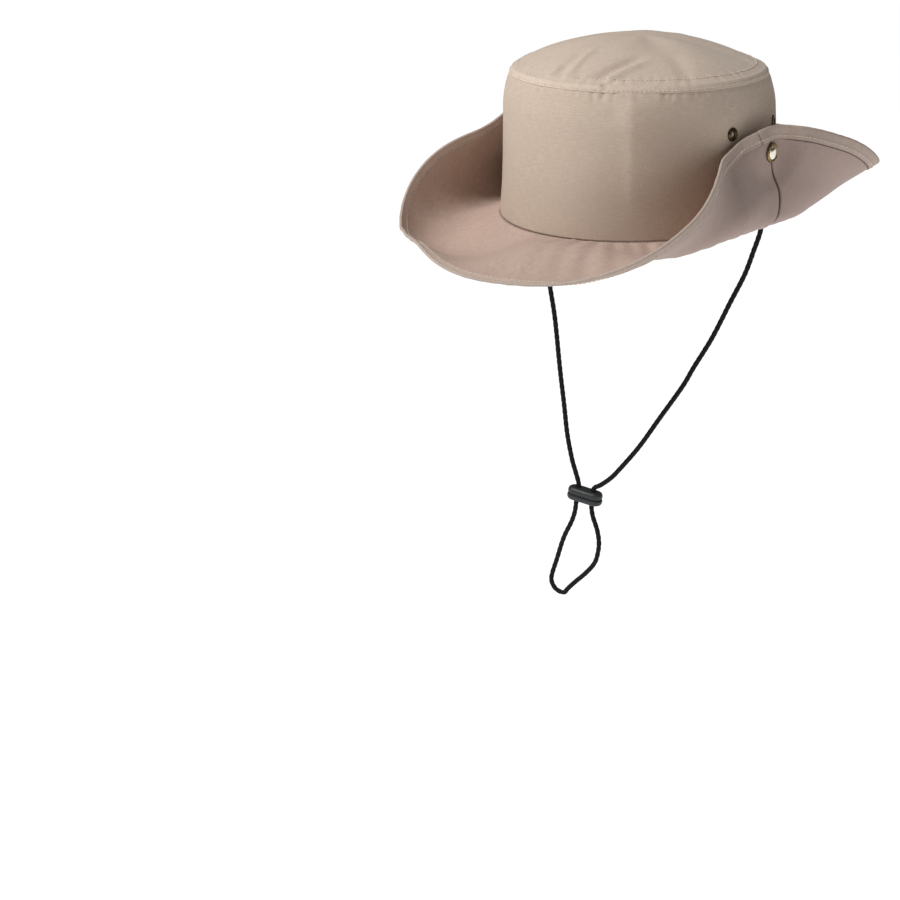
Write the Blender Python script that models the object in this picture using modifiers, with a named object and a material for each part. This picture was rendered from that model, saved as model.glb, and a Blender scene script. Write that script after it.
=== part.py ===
"""Safari hat, modelled in metres with +Z up.

The front of the hat faces -Y and +X is the wearer's left. The origin is the centre of the head opening, level
with the seam where the crown meets the brim. A turn counts quarter turns round the crown: 0 is the front, 1 the
wearer's left, 2 the back and 3 the wearer's right.
"""
import math
from collections import namedtuple

import bmesh
import bpy
from mathutils import Vector

# Head opening and crown
OPENING_HALF_WIDTH = 0.0825
OPENING_HALF_LENGTH = 0.097
CROWN_HEIGHT = 0.089
CROWN_CLOTH = 0.0012
TOP_HALF_WIDTH = 0.073
TOP_HALF_LENGTH = 0.089
TOP_FORWARD = 0.004
TOP_TILT_DEGREES = 2.3
TOP_DOME = 0.0195
DOME_POWER = 2.2
TOP_SEAM = 0.0007

# Brim and the band on the underside of its edge
BRIM_WIDTH = 0.0725
BRIM_CLOTH = 0.0015
BINDING_WIDTH = 0.009
BINDING_CLOTH = 0.001

# Clearance between touching pieces, and the seat of a metal piece on curved cloth
GAP = 0.0003
SEAT = 0.0005
EYELET_SEAT = 0.0006

# Press studs that hold the sides of the brim up
SNAP_FROM_EDGE = 0.016
SNAP_PULL = 0.0035
BRIM_FLAT = 0.009
BRIM_BLEND = 0.016
WALL_FLAT = 0.0095
WALL_BLEND = 0.012
SNAP_POST_RADIUS = 0.0014
CAP_RADIUS = 0.0061
CAP_RISE = 0.0026
CAP_RIM = 0.0007
SOCKET_RADIUS = 0.0055
SOCKET_WALL = 0.0031
STUD_FLANGE_RADIUS = 0.005
STUD_FLANGE = 0.001
STUD_BALL_RADIUS = 0.0019
STUD_NECK_RADIUS = 0.0014
STUD_HEIGHT = 0.0024
WASHER_RADIUS = 0.0036
WASHER = 0.0006

# Air holes, placed by quarter turns forward and back of each side
EYELET_RADIUS = 0.0042
EYELET_RISE = 0.0008
EYELET_HOLE_RADIUS = 0.0021
EYELET_BARREL_RADIUS = 0.0026
EYELET_INNER_RADIUS = 0.0037
EYELET_HEIGHT = 0.0588
EYELET_FORWARD = 0.138
EYELET_BACK = 0.222

# Chin cord, in an upright plane that turns slightly from the wearer's right to the left
CORD_DIAMETER = 0.003
CORD_PLANE_START = 0.011
CORD_PLANE_SLOPE = 0.114
STRAND_STEP = 0.009
LOOP_STEP = 0.0055

# Bead with two holes that slides on the cord
LOCK_LENGTH = 0.025
LOCK_DEPTH = 0.011
LOCK_HEIGHT = 0.009
LOCK_HOLE_SPACING = 0.0114
LOCK_ACROSS = -0.042
LOCK_UP = -0.2035
LOCK_TILT_DEGREES = -7.0
LOCK_LEAD = 0.002

# Fineness
STEPS_ROUND = 64
TURNED_STEPS = 16
EYELET_STEPS = 12
LOCK_ARC_STEPS = 8
BRIM_COLUMNS = 9
SECTION_STEPS = 60
CURVE_STEPS = 24

QUARTER = math.pi / 2

# How far the crown's side has drawn in from the opening's oval to the top's oval, by height
CrownRow = namedtuple("CrownRow", "height taper")
CROWN_ROWS = (
    CrownRow(0.0, 0.0),
    CrownRow(0.2, 0.13),
    CrownRow(0.5, 0.2),
    CrownRow(0.8, 0.26),
    CrownRow(0.92, 0.5),
    CrownRow(1.0, 1.0),
)
CROWN_LEVELS = (0.0, 0.14, 0.28, 0.42, 0.52, 0.62, 0.8, 0.92, 1.0)
TOP_LEVELS = (0.93, 0.8, 0.62, 0.4, 0.2)

# Soft upright folds in the crown's side: place in turns, spread in turns, depth as a share of the height
Fold = namedtuple("Fold", "turn spread depth")
CROWN_FOLDS = (
    Fold(0.34, 0.07, -0.008),
    Fold(0.1, 0.12, 0.006),
    Fold(3.2, 0.1, -0.006),
    Fold(1.7, 0.12, -0.007),
    Fold(2.4, 0.14, 0.006),
)

# Soft creases in the top panel, deepest part way in: turn, spread in turns, inward share, depth share of the dome
Crease = namedtuple("Crease", "turn spread inward depth")
TOP_CREASES = (
    Crease(0.05, 0.09, 0.75, -0.05),
    Crease(0.75, 0.12, 0.7, -0.04),
    Crease(2.3, 0.14, 0.7, -0.05),
)

# Pitch of the brim in degrees above level, at five equal shares from the seam to the edge, and the share of the
# brim's width there. The rows follow round the hat from the front, four to each quarter turn.
BrimRow = namedtuple("BrimRow", "seam quarter half three_quarters edge width")
BRIM_ROWS = (
    BrimRow(1, 3, -16, -24, -2, 1.03),
    BrimRow(4, 9, -18, -25, 23, 1.0),
    BrimRow(-24, -2, 40, 42, 57, 1.0),
    BrimRow(-12, 34, 110, 122, 104, 0.98),
    BrimRow(-16, 86, 104, 91, 90, 1.0),
    BrimRow(-28, 46, 71, 61, 62, 0.995),
    BrimRow(-23, 13, 33, 29, 35, 0.995),
    BrimRow(-15, 23, 33, 33, 33, 1.0),
    BrimRow(-14, 18, 33, 32, 32, 1.0),
    BrimRow(-14, 20, 32, 32, 32, 1.0),
    BrimRow(-16, 16, 33, 33, 34, 1.0),
    BrimRow(-16, 44, 66, 58, 60, 1.0),
    BrimRow(-26, 69, 114, 93, 91, 0.99),
    BrimRow(-25, 18, 83, 117, 118, 0.985),
    BrimRow(-30, -32, -7, 34, 55, 1.0),
    BrimRow(-31, -32, 2, 27, 27, 1.015),
)
ROWS_PER_TURN = 4

# The bead's outline by height: how far it is drawn in, and the height, both as shares of its half height
LockRow = namedtuple("LockRow", "inset height")
LOCK_ROWS = (
    LockRow(0.42, -1.0),
    LockRow(0.12, -0.86),
    LockRow(0.0, -0.6),
    LockRow(0.0, -0.2),
    LockRow(0.26, -0.14),
    LockRow(0.26, 0.06),
    LockRow(0.06, 0.12),
    LockRow(0.06, 0.56),
    LockRow(0.16, 0.84),
    LockRow(0.44, 1.0),
)

# The cord's route in its plane: across is world X and up is world Z
CordPoint = namedtuple("CordPoint", "across up")
RIGHT_HAND_STRAND = (
    CordPoint(-0.0794, 0.008),
    CordPoint(-0.0794, 0.001),
    CordPoint(-0.0790, -0.009),
    CordPoint(-0.0768, -0.0242),
    CordPoint(-0.0736, -0.0438),
    CordPoint(-0.0697, -0.0647),
    CordPoint(-0.0658, -0.0858),
    CordPoint(-0.0617, -0.1193),
    CordPoint(-0.0584, -0.1428),
    CordPoint(-0.0557, -0.1632),
    CordPoint(-0.0520, -0.1799),
    CordPoint(-0.0490, -0.1890),
)
LOOP = (
    CordPoint(-0.0504, -0.2200),
    CordPoint(-0.0555, -0.2326),
    CordPoint(-0.0600, -0.2476),
    CordPoint(-0.0646, -0.2610),
    CordPoint(-0.0663, -0.2682),
    CordPoint(-0.0638, -0.2738),
    CordPoint(-0.0585, -0.2754),
    CordPoint(-0.0532, -0.2716),
    CordPoint(-0.0478, -0.2655),
    CordPoint(-0.0365, -0.2532),
    CordPoint(-0.0318, -0.2410),
    CordPoint(-0.0315, -0.2300),
    CordPoint(-0.0345, -0.2200),
)
LEFT_HAND_STRAND = (
    CordPoint(-0.0325, -0.1930),
    CordPoint(-0.0262, -0.1880),
    CordPoint(-0.0177, -0.1790),
    CordPoint(-0.0036, -0.1629),
    CordPoint(0.0102, -0.1423),
    CordPoint(0.0258, -0.1183),
    CordPoint(0.0337, -0.1037),
    CordPoint(0.0469, -0.0819),
    CordPoint(0.0610, -0.0526),
    CordPoint(0.0718, -0.0285),
    CordPoint(0.0770, -0.0110),
    CordPoint(0.0775, -0.0010),
    CordPoint(0.0773, 0.008),
)


def remove_all():
    for thing in list(bpy.data.objects):
        bpy.data.objects.remove(thing, do_unlink=True)


def new_collection(name):
    group = bpy.data.collections.new(name)
    bpy.context.scene.collection.children.link(group)
    return group


def material(name, colour, roughness, metallic=0.0):
    made = bpy.data.materials.new(name)
    made.use_nodes = True
    shader = made.node_tree.nodes["Principled BSDF"]
    shader.inputs["Base Color"].default_value = (*colour, 1.0)
    shader.inputs["Roughness"].default_value = roughness
    shader.inputs["Metallic"].default_value = metallic
    return made


def wrapped(turns):
    """Difference of two turns, brought to within half a round."""
    return (turns + 2.0) % 4.0 - 2.0


def bell(share):
    return math.exp(-share * share)


def spline(before, start, end, after, share):
    """Smooth value between start and end, a share of the way."""
    return 0.5 * (
        2 * start
        + (end - before) * share
        + (2 * before - 5 * start + 4 * end - after) * share ** 2
        + (3 * start - before - 3 * end + after) * share ** 3
    )


def crown_taper(height):
    """Straight reading of the crown's table between its rows."""
    for low, high in zip(CROWN_ROWS, CROWN_ROWS[1:]):
        if height <= high.height:
            share = (height - low.height) / (high.height - low.height)
            return low.taper + (high.taper - low.taper) * share
    return CROWN_ROWS[-1].taper


def outward(turn):
    """Level direction square to the opening's oval."""
    angle = (turn - 1.0) * QUARTER
    return Vector((math.cos(angle) / OPENING_HALF_WIDTH, math.sin(angle) / OPENING_HALF_LENGTH, 0.0)).normalized()


def opening_point(turn):
    angle = (turn - 1.0) * QUARTER
    return Vector((OPENING_HALF_WIDTH * math.cos(angle), OPENING_HALF_LENGTH * math.sin(angle), 0.0))


def brim_value(name, turn):
    place = (turn % 4.0) * ROWS_PER_TURN
    row = int(place)
    count = len(BRIM_ROWS)
    values = [getattr(BRIM_ROWS[(row + step) % count], name) for step in (-1, 0, 1, 2)]
    return spline(*values, place - row)


def brim_section(turn, shares):
    """Middle of the brim's cloth as (out, up), first under the crown's wall and then at each share."""
    pitches = [brim_value(name, turn) for name in BrimRow._fields[:-1]]
    width = BRIM_WIDTH * brim_value("width", turn)
    out = CROWN_CLOTH / 2
    up = -(GAP + BRIM_CLOTH / 2)
    walked = [(out, up)]
    for step in range(SECTION_STEPS):
        knot = (step + 0.5) / SECTION_STEPS * (len(pitches) - 1)
        low = int(knot)
        pitch = math.radians(pitches[low] + (pitches[low + 1] - pitches[low]) * (knot - low))
        out += math.cos(pitch) * width / SECTION_STEPS
        up += math.sin(pitch) * width / SECTION_STEPS
        walked.append((out, up))
    section = [(-CROWN_CLOTH / 2, walked[0][1])]
    for share in shares:
        place = min(share * SECTION_STEPS, SECTION_STEPS - 1e-9)
        low = int(place)
        part = place - low
        start, end = walked[low], walked[low + 1]
        section.append((start[0] + (end[0] - start[0]) * part, start[1] + (end[1] - start[1]) * part))
    return section


def plain_brim_point(turn, section_point):
    out, up = section_point
    return opening_point(turn) + outward(turn) * out + Vector((0.0, 0.0, up))


SNAP_TURNS = {"left": 1.0, "right": 3.0}
SNAP_SHARE = 1.0 - SNAP_FROM_EDGE / BRIM_WIDTH
SNAP_SEATS = {side: plain_brim_point(turn, brim_section(turn, (SNAP_SHARE,))[1]) for side, turn in SNAP_TURNS.items()}


def held_flat(point, levels, flat, blend):
    """The point drawn to the upright plane in which a press stud holds the cloth, close to the stud."""
    for side, seat in SNAP_SEATS.items():
        away = math.hypot(point.y - seat.y, point.z - seat.z)
        share = min(1.0, max(0.0, (away - flat) / blend))
        if point.x * seat.x > 0.0 and share < 1.0:
            weight = 1.0 - share * share * (3.0 - 2.0 * share)
            point = Vector((point.x + (levels[side] - point.x) * weight, point.y, point.z))
    return point


def brim_point(turn, section_point):
    levels = {side: seat.x for side, seat in SNAP_SEATS.items()}
    return held_flat(plain_brim_point(turn, section_point), levels, BRIM_FLAT, BRIM_BLEND)


def top_lift(y):
    return -math.tan(math.radians(TOP_TILT_DEGREES)) * y


def plain_crown_wall(turn, height):
    """Middle of the crown's side at a share of its height, before the press studs draw it out."""
    angle = (turn - 1.0) * QUARTER
    taper = crown_taper(height)
    half_width = OPENING_HALF_WIDTH + (TOP_HALF_WIDTH - OPENING_HALF_WIDTH) * taper
    half_length = OPENING_HALF_LENGTH + (TOP_HALF_LENGTH - OPENING_HALF_LENGTH) * taper
    y = half_length * math.sin(angle) - TOP_FORWARD * height
    point = Vector((half_width * math.cos(angle), y, CROWN_HEIGHT * height + top_lift(y) * height))
    swell = sum(fold.depth * bell(wrapped(turn - fold.turn) / fold.spread) for fold in CROWN_FOLDS)
    swell *= CROWN_HEIGHT * math.sin(math.pi * height) ** 2
    return point + outward(turn) * swell


def stud_level(side):
    """World X of the crown's wall where the stud draws it out."""
    plain = plain_crown_wall(SNAP_TURNS[side], SNAP_SEATS[side].z / CROWN_HEIGHT).x
    return plain + math.copysign(SNAP_PULL, plain)


def crown_wall(turn, height):
    return held_flat(plain_crown_wall(turn, height), STUD_LEVELS, WALL_FLAT, WALL_BLEND)


STUD_LEVELS = {side: stud_level(side) for side in SNAP_TURNS}


def crown_top(turn, share):
    """Middle of the top panel at a share of its half size from the centre."""
    angle = (turn - 1.0) * QUARTER
    y = TOP_HALF_LENGTH * share * math.sin(angle) - TOP_FORWARD
    dome = 1.0 - share ** DOME_POWER
    for crease in TOP_CREASES:
        along = bell(wrapped(turn - crease.turn) / crease.spread)
        dome += crease.depth * along * bell((share - crease.inward) / 0.22) * min(1.0, 6.0 * (1.0 - share))
    return Vector((TOP_HALF_WIDTH * share * math.cos(angle), y, CROWN_HEIGHT + TOP_DOME * dome + top_lift(y)))


def skin(name, rings, pole=None):
    """Open surface through rings of equal counts, every cell split along the same diagonal."""
    count = len(rings[0])
    points = [point for ring in rings for point in ring]
    faces = []
    for row in range(len(rings) - 1):
        for step in range(count):
            after = (step + 1) % count
            near, next_near = row * count + step, row * count + after
            far, next_far = near + count, next_near + count
            faces.append((near, next_near, next_far))
            faces.append((near, next_far, far))
    if pole is not None:
        last = (len(rings) - 1) * count
        faces += [(last + step, last + (step + 1) % count, len(points)) for step in range(count)]
        points.append(pole)
    mesh = bpy.data.meshes.new(name)
    mesh.from_pydata(points, [], faces)
    mesh.update()
    return mesh


def add_object(name, data, group, look=None):
    made = bpy.data.objects.new(name, data)
    group.objects.link(made)
    if look is not None:
        data.materials.append(look)
    return made


def thicken(thing, thickness):
    solid = thing.modifiers.new("cloth", "SOLIDIFY")
    solid.thickness = thickness
    solid.offset = 0.0
    solid.use_even_offset = True


def point_along(thing, direction):
    thing.rotation_mode = "QUATERNION"
    thing.rotation_quaternion = Vector((0.0, 0.0, 1.0)).rotation_difference(direction)


def turned(name, profile, steps, group, look, closed=False):
    """Profile of (radius, height) pairs turned about Z."""
    mesh = bpy.data.meshes.new(name)
    edges = [(index, index + 1) for index in range(len(profile) - 1)]
    if closed:
        edges.append((len(profile) - 1, 0))
    mesh.from_pydata([(radius, 0.0, height) for radius, height in profile], edges, [])
    made = add_object(name, mesh, group, look)
    screw = made.modifiers.new("turn", "SCREW")
    screw.steps = steps
    screw.render_steps = steps
    screw.use_merge_vertices = True
    screw.merge_threshold = 0.00001
    return made


def drill(name, radius, depth, sides, location, direction, group):
    """Round cutter centred on a point."""
    mesh = bpy.data.meshes.new(name)
    shape = bmesh.new()
    bmesh.ops.create_cone(
        shape, cap_ends=True, segments=sides, radius1=radius, radius2=radius, depth=depth
    )
    shape.to_mesh(mesh)
    shape.free()
    made = add_object(name, mesh, group)
    made.location = location
    point_along(made, direction)
    made.hide_render = True
    made.display_type = "WIRE"
    return made


def cut(thing, cutter):
    hole = thing.modifiers.new(cutter.name, "BOOLEAN")
    hole.operation = "DIFFERENCE"
    hole.solver = "EXACT"
    hole.object = cutter


def dome(radius, base, top, steps):
    """Profile points from the crown of a dome down to its rim."""
    points = []
    for step in range(steps + 1):
        angle = QUARTER * step / steps
        points.append((radius * math.sin(angle), base + (top - base) * math.cos(angle)))
    return points


def cap_profile(space):
    """Cap outside the brim, post through it and socket inside; space is cloth middle to cloth middle."""
    seat = BRIM_CLOTH / 2 + SEAT
    socket_end = space - CROWN_CLOTH / 2 - SEAT - STUD_FLANGE - GAP
    cavity = STUD_HEIGHT + GAP
    cavity_radius = STUD_BALL_RADIUS + GAP
    return dome(CAP_RADIUS, seat + CAP_RIM, seat + CAP_RISE, 5) + [
        (CAP_RADIUS, seat),
        (SNAP_POST_RADIUS, seat),
        (SNAP_POST_RADIUS, -seat),
        (SOCKET_WALL, -seat),
        (SOCKET_RADIUS, -socket_end + STUD_FLANGE),
        (SOCKET_RADIUS, -socket_end),
        (cavity_radius, -socket_end),
        (cavity_radius, -socket_end + cavity),
        (0.0, -socket_end + cavity),
    ]


def stud_profile():
    """Stud outside the crown's wall, post through it and washer inside."""
    seat = CROWN_CLOTH / 2 + SEAT
    root = seat + STUD_FLANGE
    return [
        (0.0, root + STUD_HEIGHT - GAP),
        (STUD_NECK_RADIUS, root + STUD_HEIGHT - GAP),
        (STUD_BALL_RADIUS, root + STUD_HEIGHT * 0.65),
        (STUD_NECK_RADIUS, root + STUD_HEIGHT * 0.25),
        (STUD_NECK_RADIUS, root),
        (STUD_FLANGE_RADIUS, root),
        (STUD_FLANGE_RADIUS, seat),
        (SNAP_POST_RADIUS, seat),
        (SNAP_POST_RADIUS, -seat),
        (WASHER_RADIUS, -seat),
        (WASHER_RADIUS, -seat - WASHER),
        (0.0, -seat - WASHER),
    ]


def eyelet_profile():
    """Rolled ring outside the cloth, barrel through it and flat ring inside."""
    seat = CROWN_CLOTH / 2 + EYELET_SEAT
    return [
        (EYELET_HOLE_RADIUS, seat + EYELET_RISE * 0.7),
        ((EYELET_HOLE_RADIUS + EYELET_RADIUS) / 2, seat + EYELET_RISE),
        (EYELET_RADIUS, seat + EYELET_RISE * 0.5),
        (EYELET_RADIUS, seat),
        (EYELET_BARREL_RADIUS, seat),
        (EYELET_BARREL_RADIUS, -seat),
        (EYELET_INNER_RADIUS, -seat),
        (EYELET_INNER_RADIUS, -seat - EYELET_RISE * 0.5),
        (EYELET_HOLE_RADIUS, -seat - EYELET_RISE * 0.5),
    ]


def cord_place(across, up):
    return Vector((across, CORD_PLANE_START + CORD_PLANE_SLOPE * across, up))


LOCK_TILT = math.radians(LOCK_TILT_DEGREES)
PLANE_ACROSS = Vector((1.0, CORD_PLANE_SLOPE, 0.0)).normalized()
PLANE_THROUGH = Vector((-CORD_PLANE_SLOPE, 1.0, 0.0)).normalized()
LOCK_CENTRE = cord_place(LOCK_ACROSS, LOCK_UP)
LOCK_LONG = PLANE_ACROSS * math.cos(LOCK_TILT) + Vector((0.0, 0.0, math.sin(LOCK_TILT)))
LOCK_AXIS = Vector((0.0, 0.0, math.cos(LOCK_TILT))) - PLANE_ACROSS * math.sin(LOCK_TILT)


def lock_hole(side, above):
    """Point on the axis of one of the bead's holes; side is -1 or 1, above is the height from its middle."""
    return LOCK_CENTRE + LOCK_LONG * side * LOCK_HOLE_SPACING / 2 + LOCK_AXIS * above


def smooth_curve(points):
    """Close-set points on the smooth curve through the given ones."""
    ends = [2 * points[0] - points[1]] + list(points) + [2 * points[-1] - points[-2]]
    curve = []
    for before, start, end, after in zip(ends, ends[1:], ends[2:], ends[3:]):
        curve += [spline(before, start, end, after, step / CURVE_STEPS) for step in range(CURVE_STEPS)]
    return curve + [points[-1]]


def evenly(curve, step):
    """Points at equal lengths along a curve, both ends kept."""
    lengths = [0.0]
    for start, end in zip(curve, curve[1:]):
        lengths.append(lengths[-1] + (end - start).length)
    count = max(2, round(lengths[-1] / step))
    spaced = [curve[0]]
    index = 0
    for number in range(1, count):
        goal = lengths[-1] * number / count
        while lengths[index + 1] < goal:
            index += 1
        share = (goal - lengths[index]) / (lengths[index + 1] - lengths[index])
        spaced.append(curve[index].lerp(curve[index + 1], share))
    return spaced + [curve[-1]]


def cord_points():
    """The whole cord, from the wearer's right, through the bead, round the loop and up to the left."""
    end = LOCK_HEIGHT / 2 + LOCK_LEAD
    right = [cord_place(*point) for point in RIGHT_HAND_STRAND]
    right += [lock_hole(-1, end), lock_hole(-1, -end)]
    loop = [cord_place(*point) for point in LOOP]
    left = [lock_hole(1, -end), lock_hole(1, end)]
    left += [cord_place(*point) for point in LEFT_HAND_STRAND]
    curve = smooth_curve(right + loop + left)
    first = (len(right) - 2) * CURVE_STEPS
    second = (len(right) + len(loop)) * CURVE_STEPS
    strand_right = evenly(curve[:first + 1], STRAND_STEP)
    round_loop = evenly(curve[first + CURVE_STEPS:second + 1], LOOP_STEP)
    strand_left = evenly(curve[second + CURVE_STEPS:], STRAND_STEP)
    return strand_right + round_loop + strand_left


def lock_ring(row):
    """The bead's outline at one row of its table, in its own frame."""
    half_height = LOCK_HEIGHT / 2
    radius = LOCK_DEPTH / 2 - row.inset * half_height
    straight = (LOCK_LENGTH - LOCK_DEPTH) / 2
    ring = []
    for end, start in ((1, -QUARTER), (-1, QUARTER)):
        for step in range(LOCK_ARC_STEPS + 1):
            angle = start + math.pi * step / LOCK_ARC_STEPS
            across = end * straight + radius * math.cos(angle)
            ring.append((across, radius * math.sin(angle), row.height * half_height))
    return ring


remove_all()
hat = new_collection("safari_hat")
cutters = new_collection("cutters")

tan_cotton = material("tan_cotton", (0.42, 0.32, 0.245), 0.9)
tan_top = material("tan_cotton_top", (0.43, 0.33, 0.25), 0.9)
brim_cotton = material("brim_cotton", (0.40, 0.30, 0.235), 0.9)
band_cotton = material("band_cotton", (0.33, 0.27, 0.23), 0.9)
old_brass = material("old_brass", (0.26, 0.20, 0.12), 0.4, 1.0)
bright_brass = material("bright_brass", (0.45, 0.37, 0.22), 0.3, 1.0)
black_cord = material("black_cord", (0.014, 0.015, 0.017), 0.8)
black_plastic = material("black_plastic", (0.02, 0.022, 0.024), 0.45)

turns = [4.0 * step / STEPS_ROUND for step in range(STEPS_ROUND)]

# Crown: an upright wall and the panel that closes it, with a fine seam between them
side_rings = [[crown_wall(turn, level) for turn in turns] for level in CROWN_LEVELS]
crown_side = add_object("crown_side", skin("crown_side", side_rings), hat, tan_cotton)
thicken(crown_side, CROWN_CLOTH)

panel_levels = (1.0 - TOP_SEAM / TOP_HALF_LENGTH,) + TOP_LEVELS
panel_rings = [[crown_top(turn, level) for turn in turns] for level in panel_levels]
top_panel = add_object("crown_top", skin("crown_top", panel_rings, crown_top(0.0, 0.0)), hat, tan_top)
thicken(top_panel, CROWN_CLOTH)

# Brim: from its edge in to the seam, with the band under its edge
band_start = 1.0 - BINDING_WIDTH / BRIM_WIDTH
brim_shares = [band_start * column / BRIM_COLUMNS for column in range(BRIM_COLUMNS + 1)] + [1.0]
sections = [brim_section(turn, brim_shares) for turn in turns]
brim_rings = []
for column in reversed(range(len(brim_shares) + 1)):
    brim_rings.append([brim_point(turn, section[column]) for turn, section in zip(turns, sections)])
brim_mesh = skin("brim", brim_rings)
brim = add_object("brim", brim_mesh, hat, brim_cotton)
thicken(brim, BRIM_CLOTH)

under = BRIM_CLOTH / 2 + GAP + BINDING_CLOTH / 2
band_points = [vertex.co - vertex.normal * under for vertex in brim_mesh.vertices[:2 * STEPS_ROUND]]
band_rings = [band_points[:STEPS_ROUND], band_points[STEPS_ROUND:]]
binding = add_object("brim_binding", skin("brim_binding", band_rings), hat, band_cotton)
thicken(binding, BINDING_CLOTH)

# Press studs: a cap and socket on the brim and a stud on the crown at each side
for side, turn in SNAP_TURNS.items():
    seat_point = SNAP_SEATS[side]
    facing = outward(turn)
    space = abs(seat_point.x - STUD_LEVELS[side])
    cap = turned("snap_cap_" + side, cap_profile(space), TURNED_STEPS, hat, bright_brass)
    cap.location = seat_point
    point_along(cap, facing)
    stud = turned("snap_stud_" + side, stud_profile(), TURNED_STEPS, hat, old_brass)
    stud.location = seat_point - facing * space
    point_along(stud, facing)
    hole_radius = SNAP_POST_RADIUS + GAP
    brim_hole = drill("brim_hole_" + side, hole_radius, 0.004, TURNED_STEPS, cap.location, facing, cutters)
    cut(brim, brim_hole)
    wall_hole = drill("wall_hole_" + side, hole_radius, 0.004, TURNED_STEPS, stud.location, facing, cutters)
    cut(crown_side, wall_hole)

# Air holes: two at each side of the crown
eyelet_turns = {
    "left_front": SNAP_TURNS["left"] - EYELET_FORWARD,
    "left_back": SNAP_TURNS["left"] + EYELET_BACK,
    "right_front": SNAP_TURNS["right"] + EYELET_FORWARD,
    "right_back": SNAP_TURNS["right"] - EYELET_BACK,
}
for place, turn in eyelet_turns.items():
    height = EYELET_HEIGHT / CROWN_HEIGHT
    centre = crown_wall(turn, height)
    along = crown_wall(turn + 0.03, height) - crown_wall(turn - 0.03, height)
    upward = crown_wall(turn, height + 0.04) - crown_wall(turn, height - 0.04)
    facing = along.cross(upward).normalized()
    eyelet = turned("eyelet_" + place, eyelet_profile(), EYELET_STEPS, hat, old_brass, closed=True)
    eyelet.location = centre
    point_along(eyelet, facing)
    hole_radius = EYELET_BARREL_RADIUS + GAP
    hole = drill("eyelet_hole_" + place, hole_radius, 0.004, EYELET_STEPS, centre, facing, cutters)
    cut(crown_side, hole)

# Chin cord and the bead that slides on it
cord_curve = bpy.data.curves.new("chin_cord", "CURVE")
cord_curve.dimensions = "3D"
cord_curve.bevel_depth = CORD_DIAMETER / 2
cord_curve.bevel_resolution = 2
cord_curve.render_resolution_u = 0
cord_curve.use_fill_caps = True
route = cord_points()
spline_line = cord_curve.splines.new("POLY")
spline_line.points.add(len(route) - 1)
for number, place in enumerate(route):
    spline_line.points[number].co = (*place, 1.0)
chin_cord = add_object("chin_cord", cord_curve, hat, black_cord)

lock_rings = [lock_ring(row) for row in LOCK_ROWS]
lock_mesh = skin("cord_lock", lock_rings)
closing = bmesh.new()
closing.from_mesh(lock_mesh)
bmesh.ops.holes_fill(closing, edges=closing.edges, sides=0)
bmesh.ops.recalc_face_normals(closing, faces=closing.faces)
closing.to_mesh(lock_mesh)
closing.free()
cord_lock = add_object("cord_lock", lock_mesh, hat, black_plastic)
cord_lock.location = LOCK_CENTRE
cord_lock.rotation_mode = "XYZ"
cord_lock.rotation_euler = (0.0, -LOCK_TILT, math.atan(CORD_PLANE_SLOPE))
for side, name in ((-1, "right"), (1, "left")):
    bore = drill(
        "lock_hole_" + name, CORD_DIAMETER / 2 + GAP, 2 * LOCK_HEIGHT, TURNED_STEPS,
        lock_hole(side, 0.0), LOCK_AXIS, cutters
    )
    cut(cord_lock, bore)

for thing in hat.objects:
    if thing.type == "MESH":
        thing.data.shade_smooth()
        thing.data.set_sharp_from_angle(angle=math.radians(35.0))
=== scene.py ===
import math

import bmesh
import bpy
import numpy as np
from mathutils import Matrix, Vector


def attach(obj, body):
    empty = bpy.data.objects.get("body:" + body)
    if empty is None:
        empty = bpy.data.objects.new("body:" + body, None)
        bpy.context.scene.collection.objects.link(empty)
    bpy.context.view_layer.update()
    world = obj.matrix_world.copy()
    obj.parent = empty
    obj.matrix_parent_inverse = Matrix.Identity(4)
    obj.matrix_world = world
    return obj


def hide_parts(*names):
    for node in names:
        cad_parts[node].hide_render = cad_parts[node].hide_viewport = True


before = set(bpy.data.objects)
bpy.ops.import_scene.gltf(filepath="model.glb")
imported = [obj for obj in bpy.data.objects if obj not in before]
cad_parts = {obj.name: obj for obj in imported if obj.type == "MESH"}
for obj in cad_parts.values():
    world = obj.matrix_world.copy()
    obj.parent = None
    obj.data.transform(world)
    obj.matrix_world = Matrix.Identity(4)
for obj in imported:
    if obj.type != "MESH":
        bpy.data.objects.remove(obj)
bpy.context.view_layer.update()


# THE VIEW
# A long lens looks slightly down on the hat from in front of the wearer's left side. In a frame 900 wide and high,
# VIEW_SPOT is where the middle of the head opening falls, and VIEW_SCALE is the distance behind the lens.
FRAME_SIDE = 900.0
SENSOR_WIDTH = 36.0
VIEW_TURN = math.radians(36.0)
VIEW_RISE = math.radians(18.4)
VIEW_AWAY = 1.8
VIEW_SCALE = 2860.0
VIEW_SPOT = (640.2, 205.6)

view_right = Vector((math.cos(VIEW_TURN), math.sin(VIEW_TURN), 0.0))
view_back = Vector((
    math.sin(VIEW_TURN) * math.cos(VIEW_RISE), -math.cos(VIEW_TURN) * math.cos(VIEW_RISE), math.sin(VIEW_RISE)
))
view_up = view_back.cross(view_right)
camera_data = bpy.data.cameras.new("view")
camera_data.sensor_width = SENSOR_WIDTH
camera_data.lens = SENSOR_WIDTH * VIEW_SCALE / FRAME_SIDE
camera = bpy.data.objects.new("view", camera_data)
bpy.context.scene.collection.objects.link(camera)
middle = FRAME_SIDE / 2
shift_right = (VIEW_SPOT[0] - middle) / VIEW_SCALE * VIEW_AWAY
shift_up = -(VIEW_SPOT[1] - middle) / VIEW_SCALE * VIEW_AWAY
place = view_back * VIEW_AWAY - view_right * shift_right - view_up * shift_up
camera.matrix_world = Matrix.Translation(place) @ Matrix((view_right, view_up, view_back)).transposed().to_4x4()
bpy.context.scene.camera = camera


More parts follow.
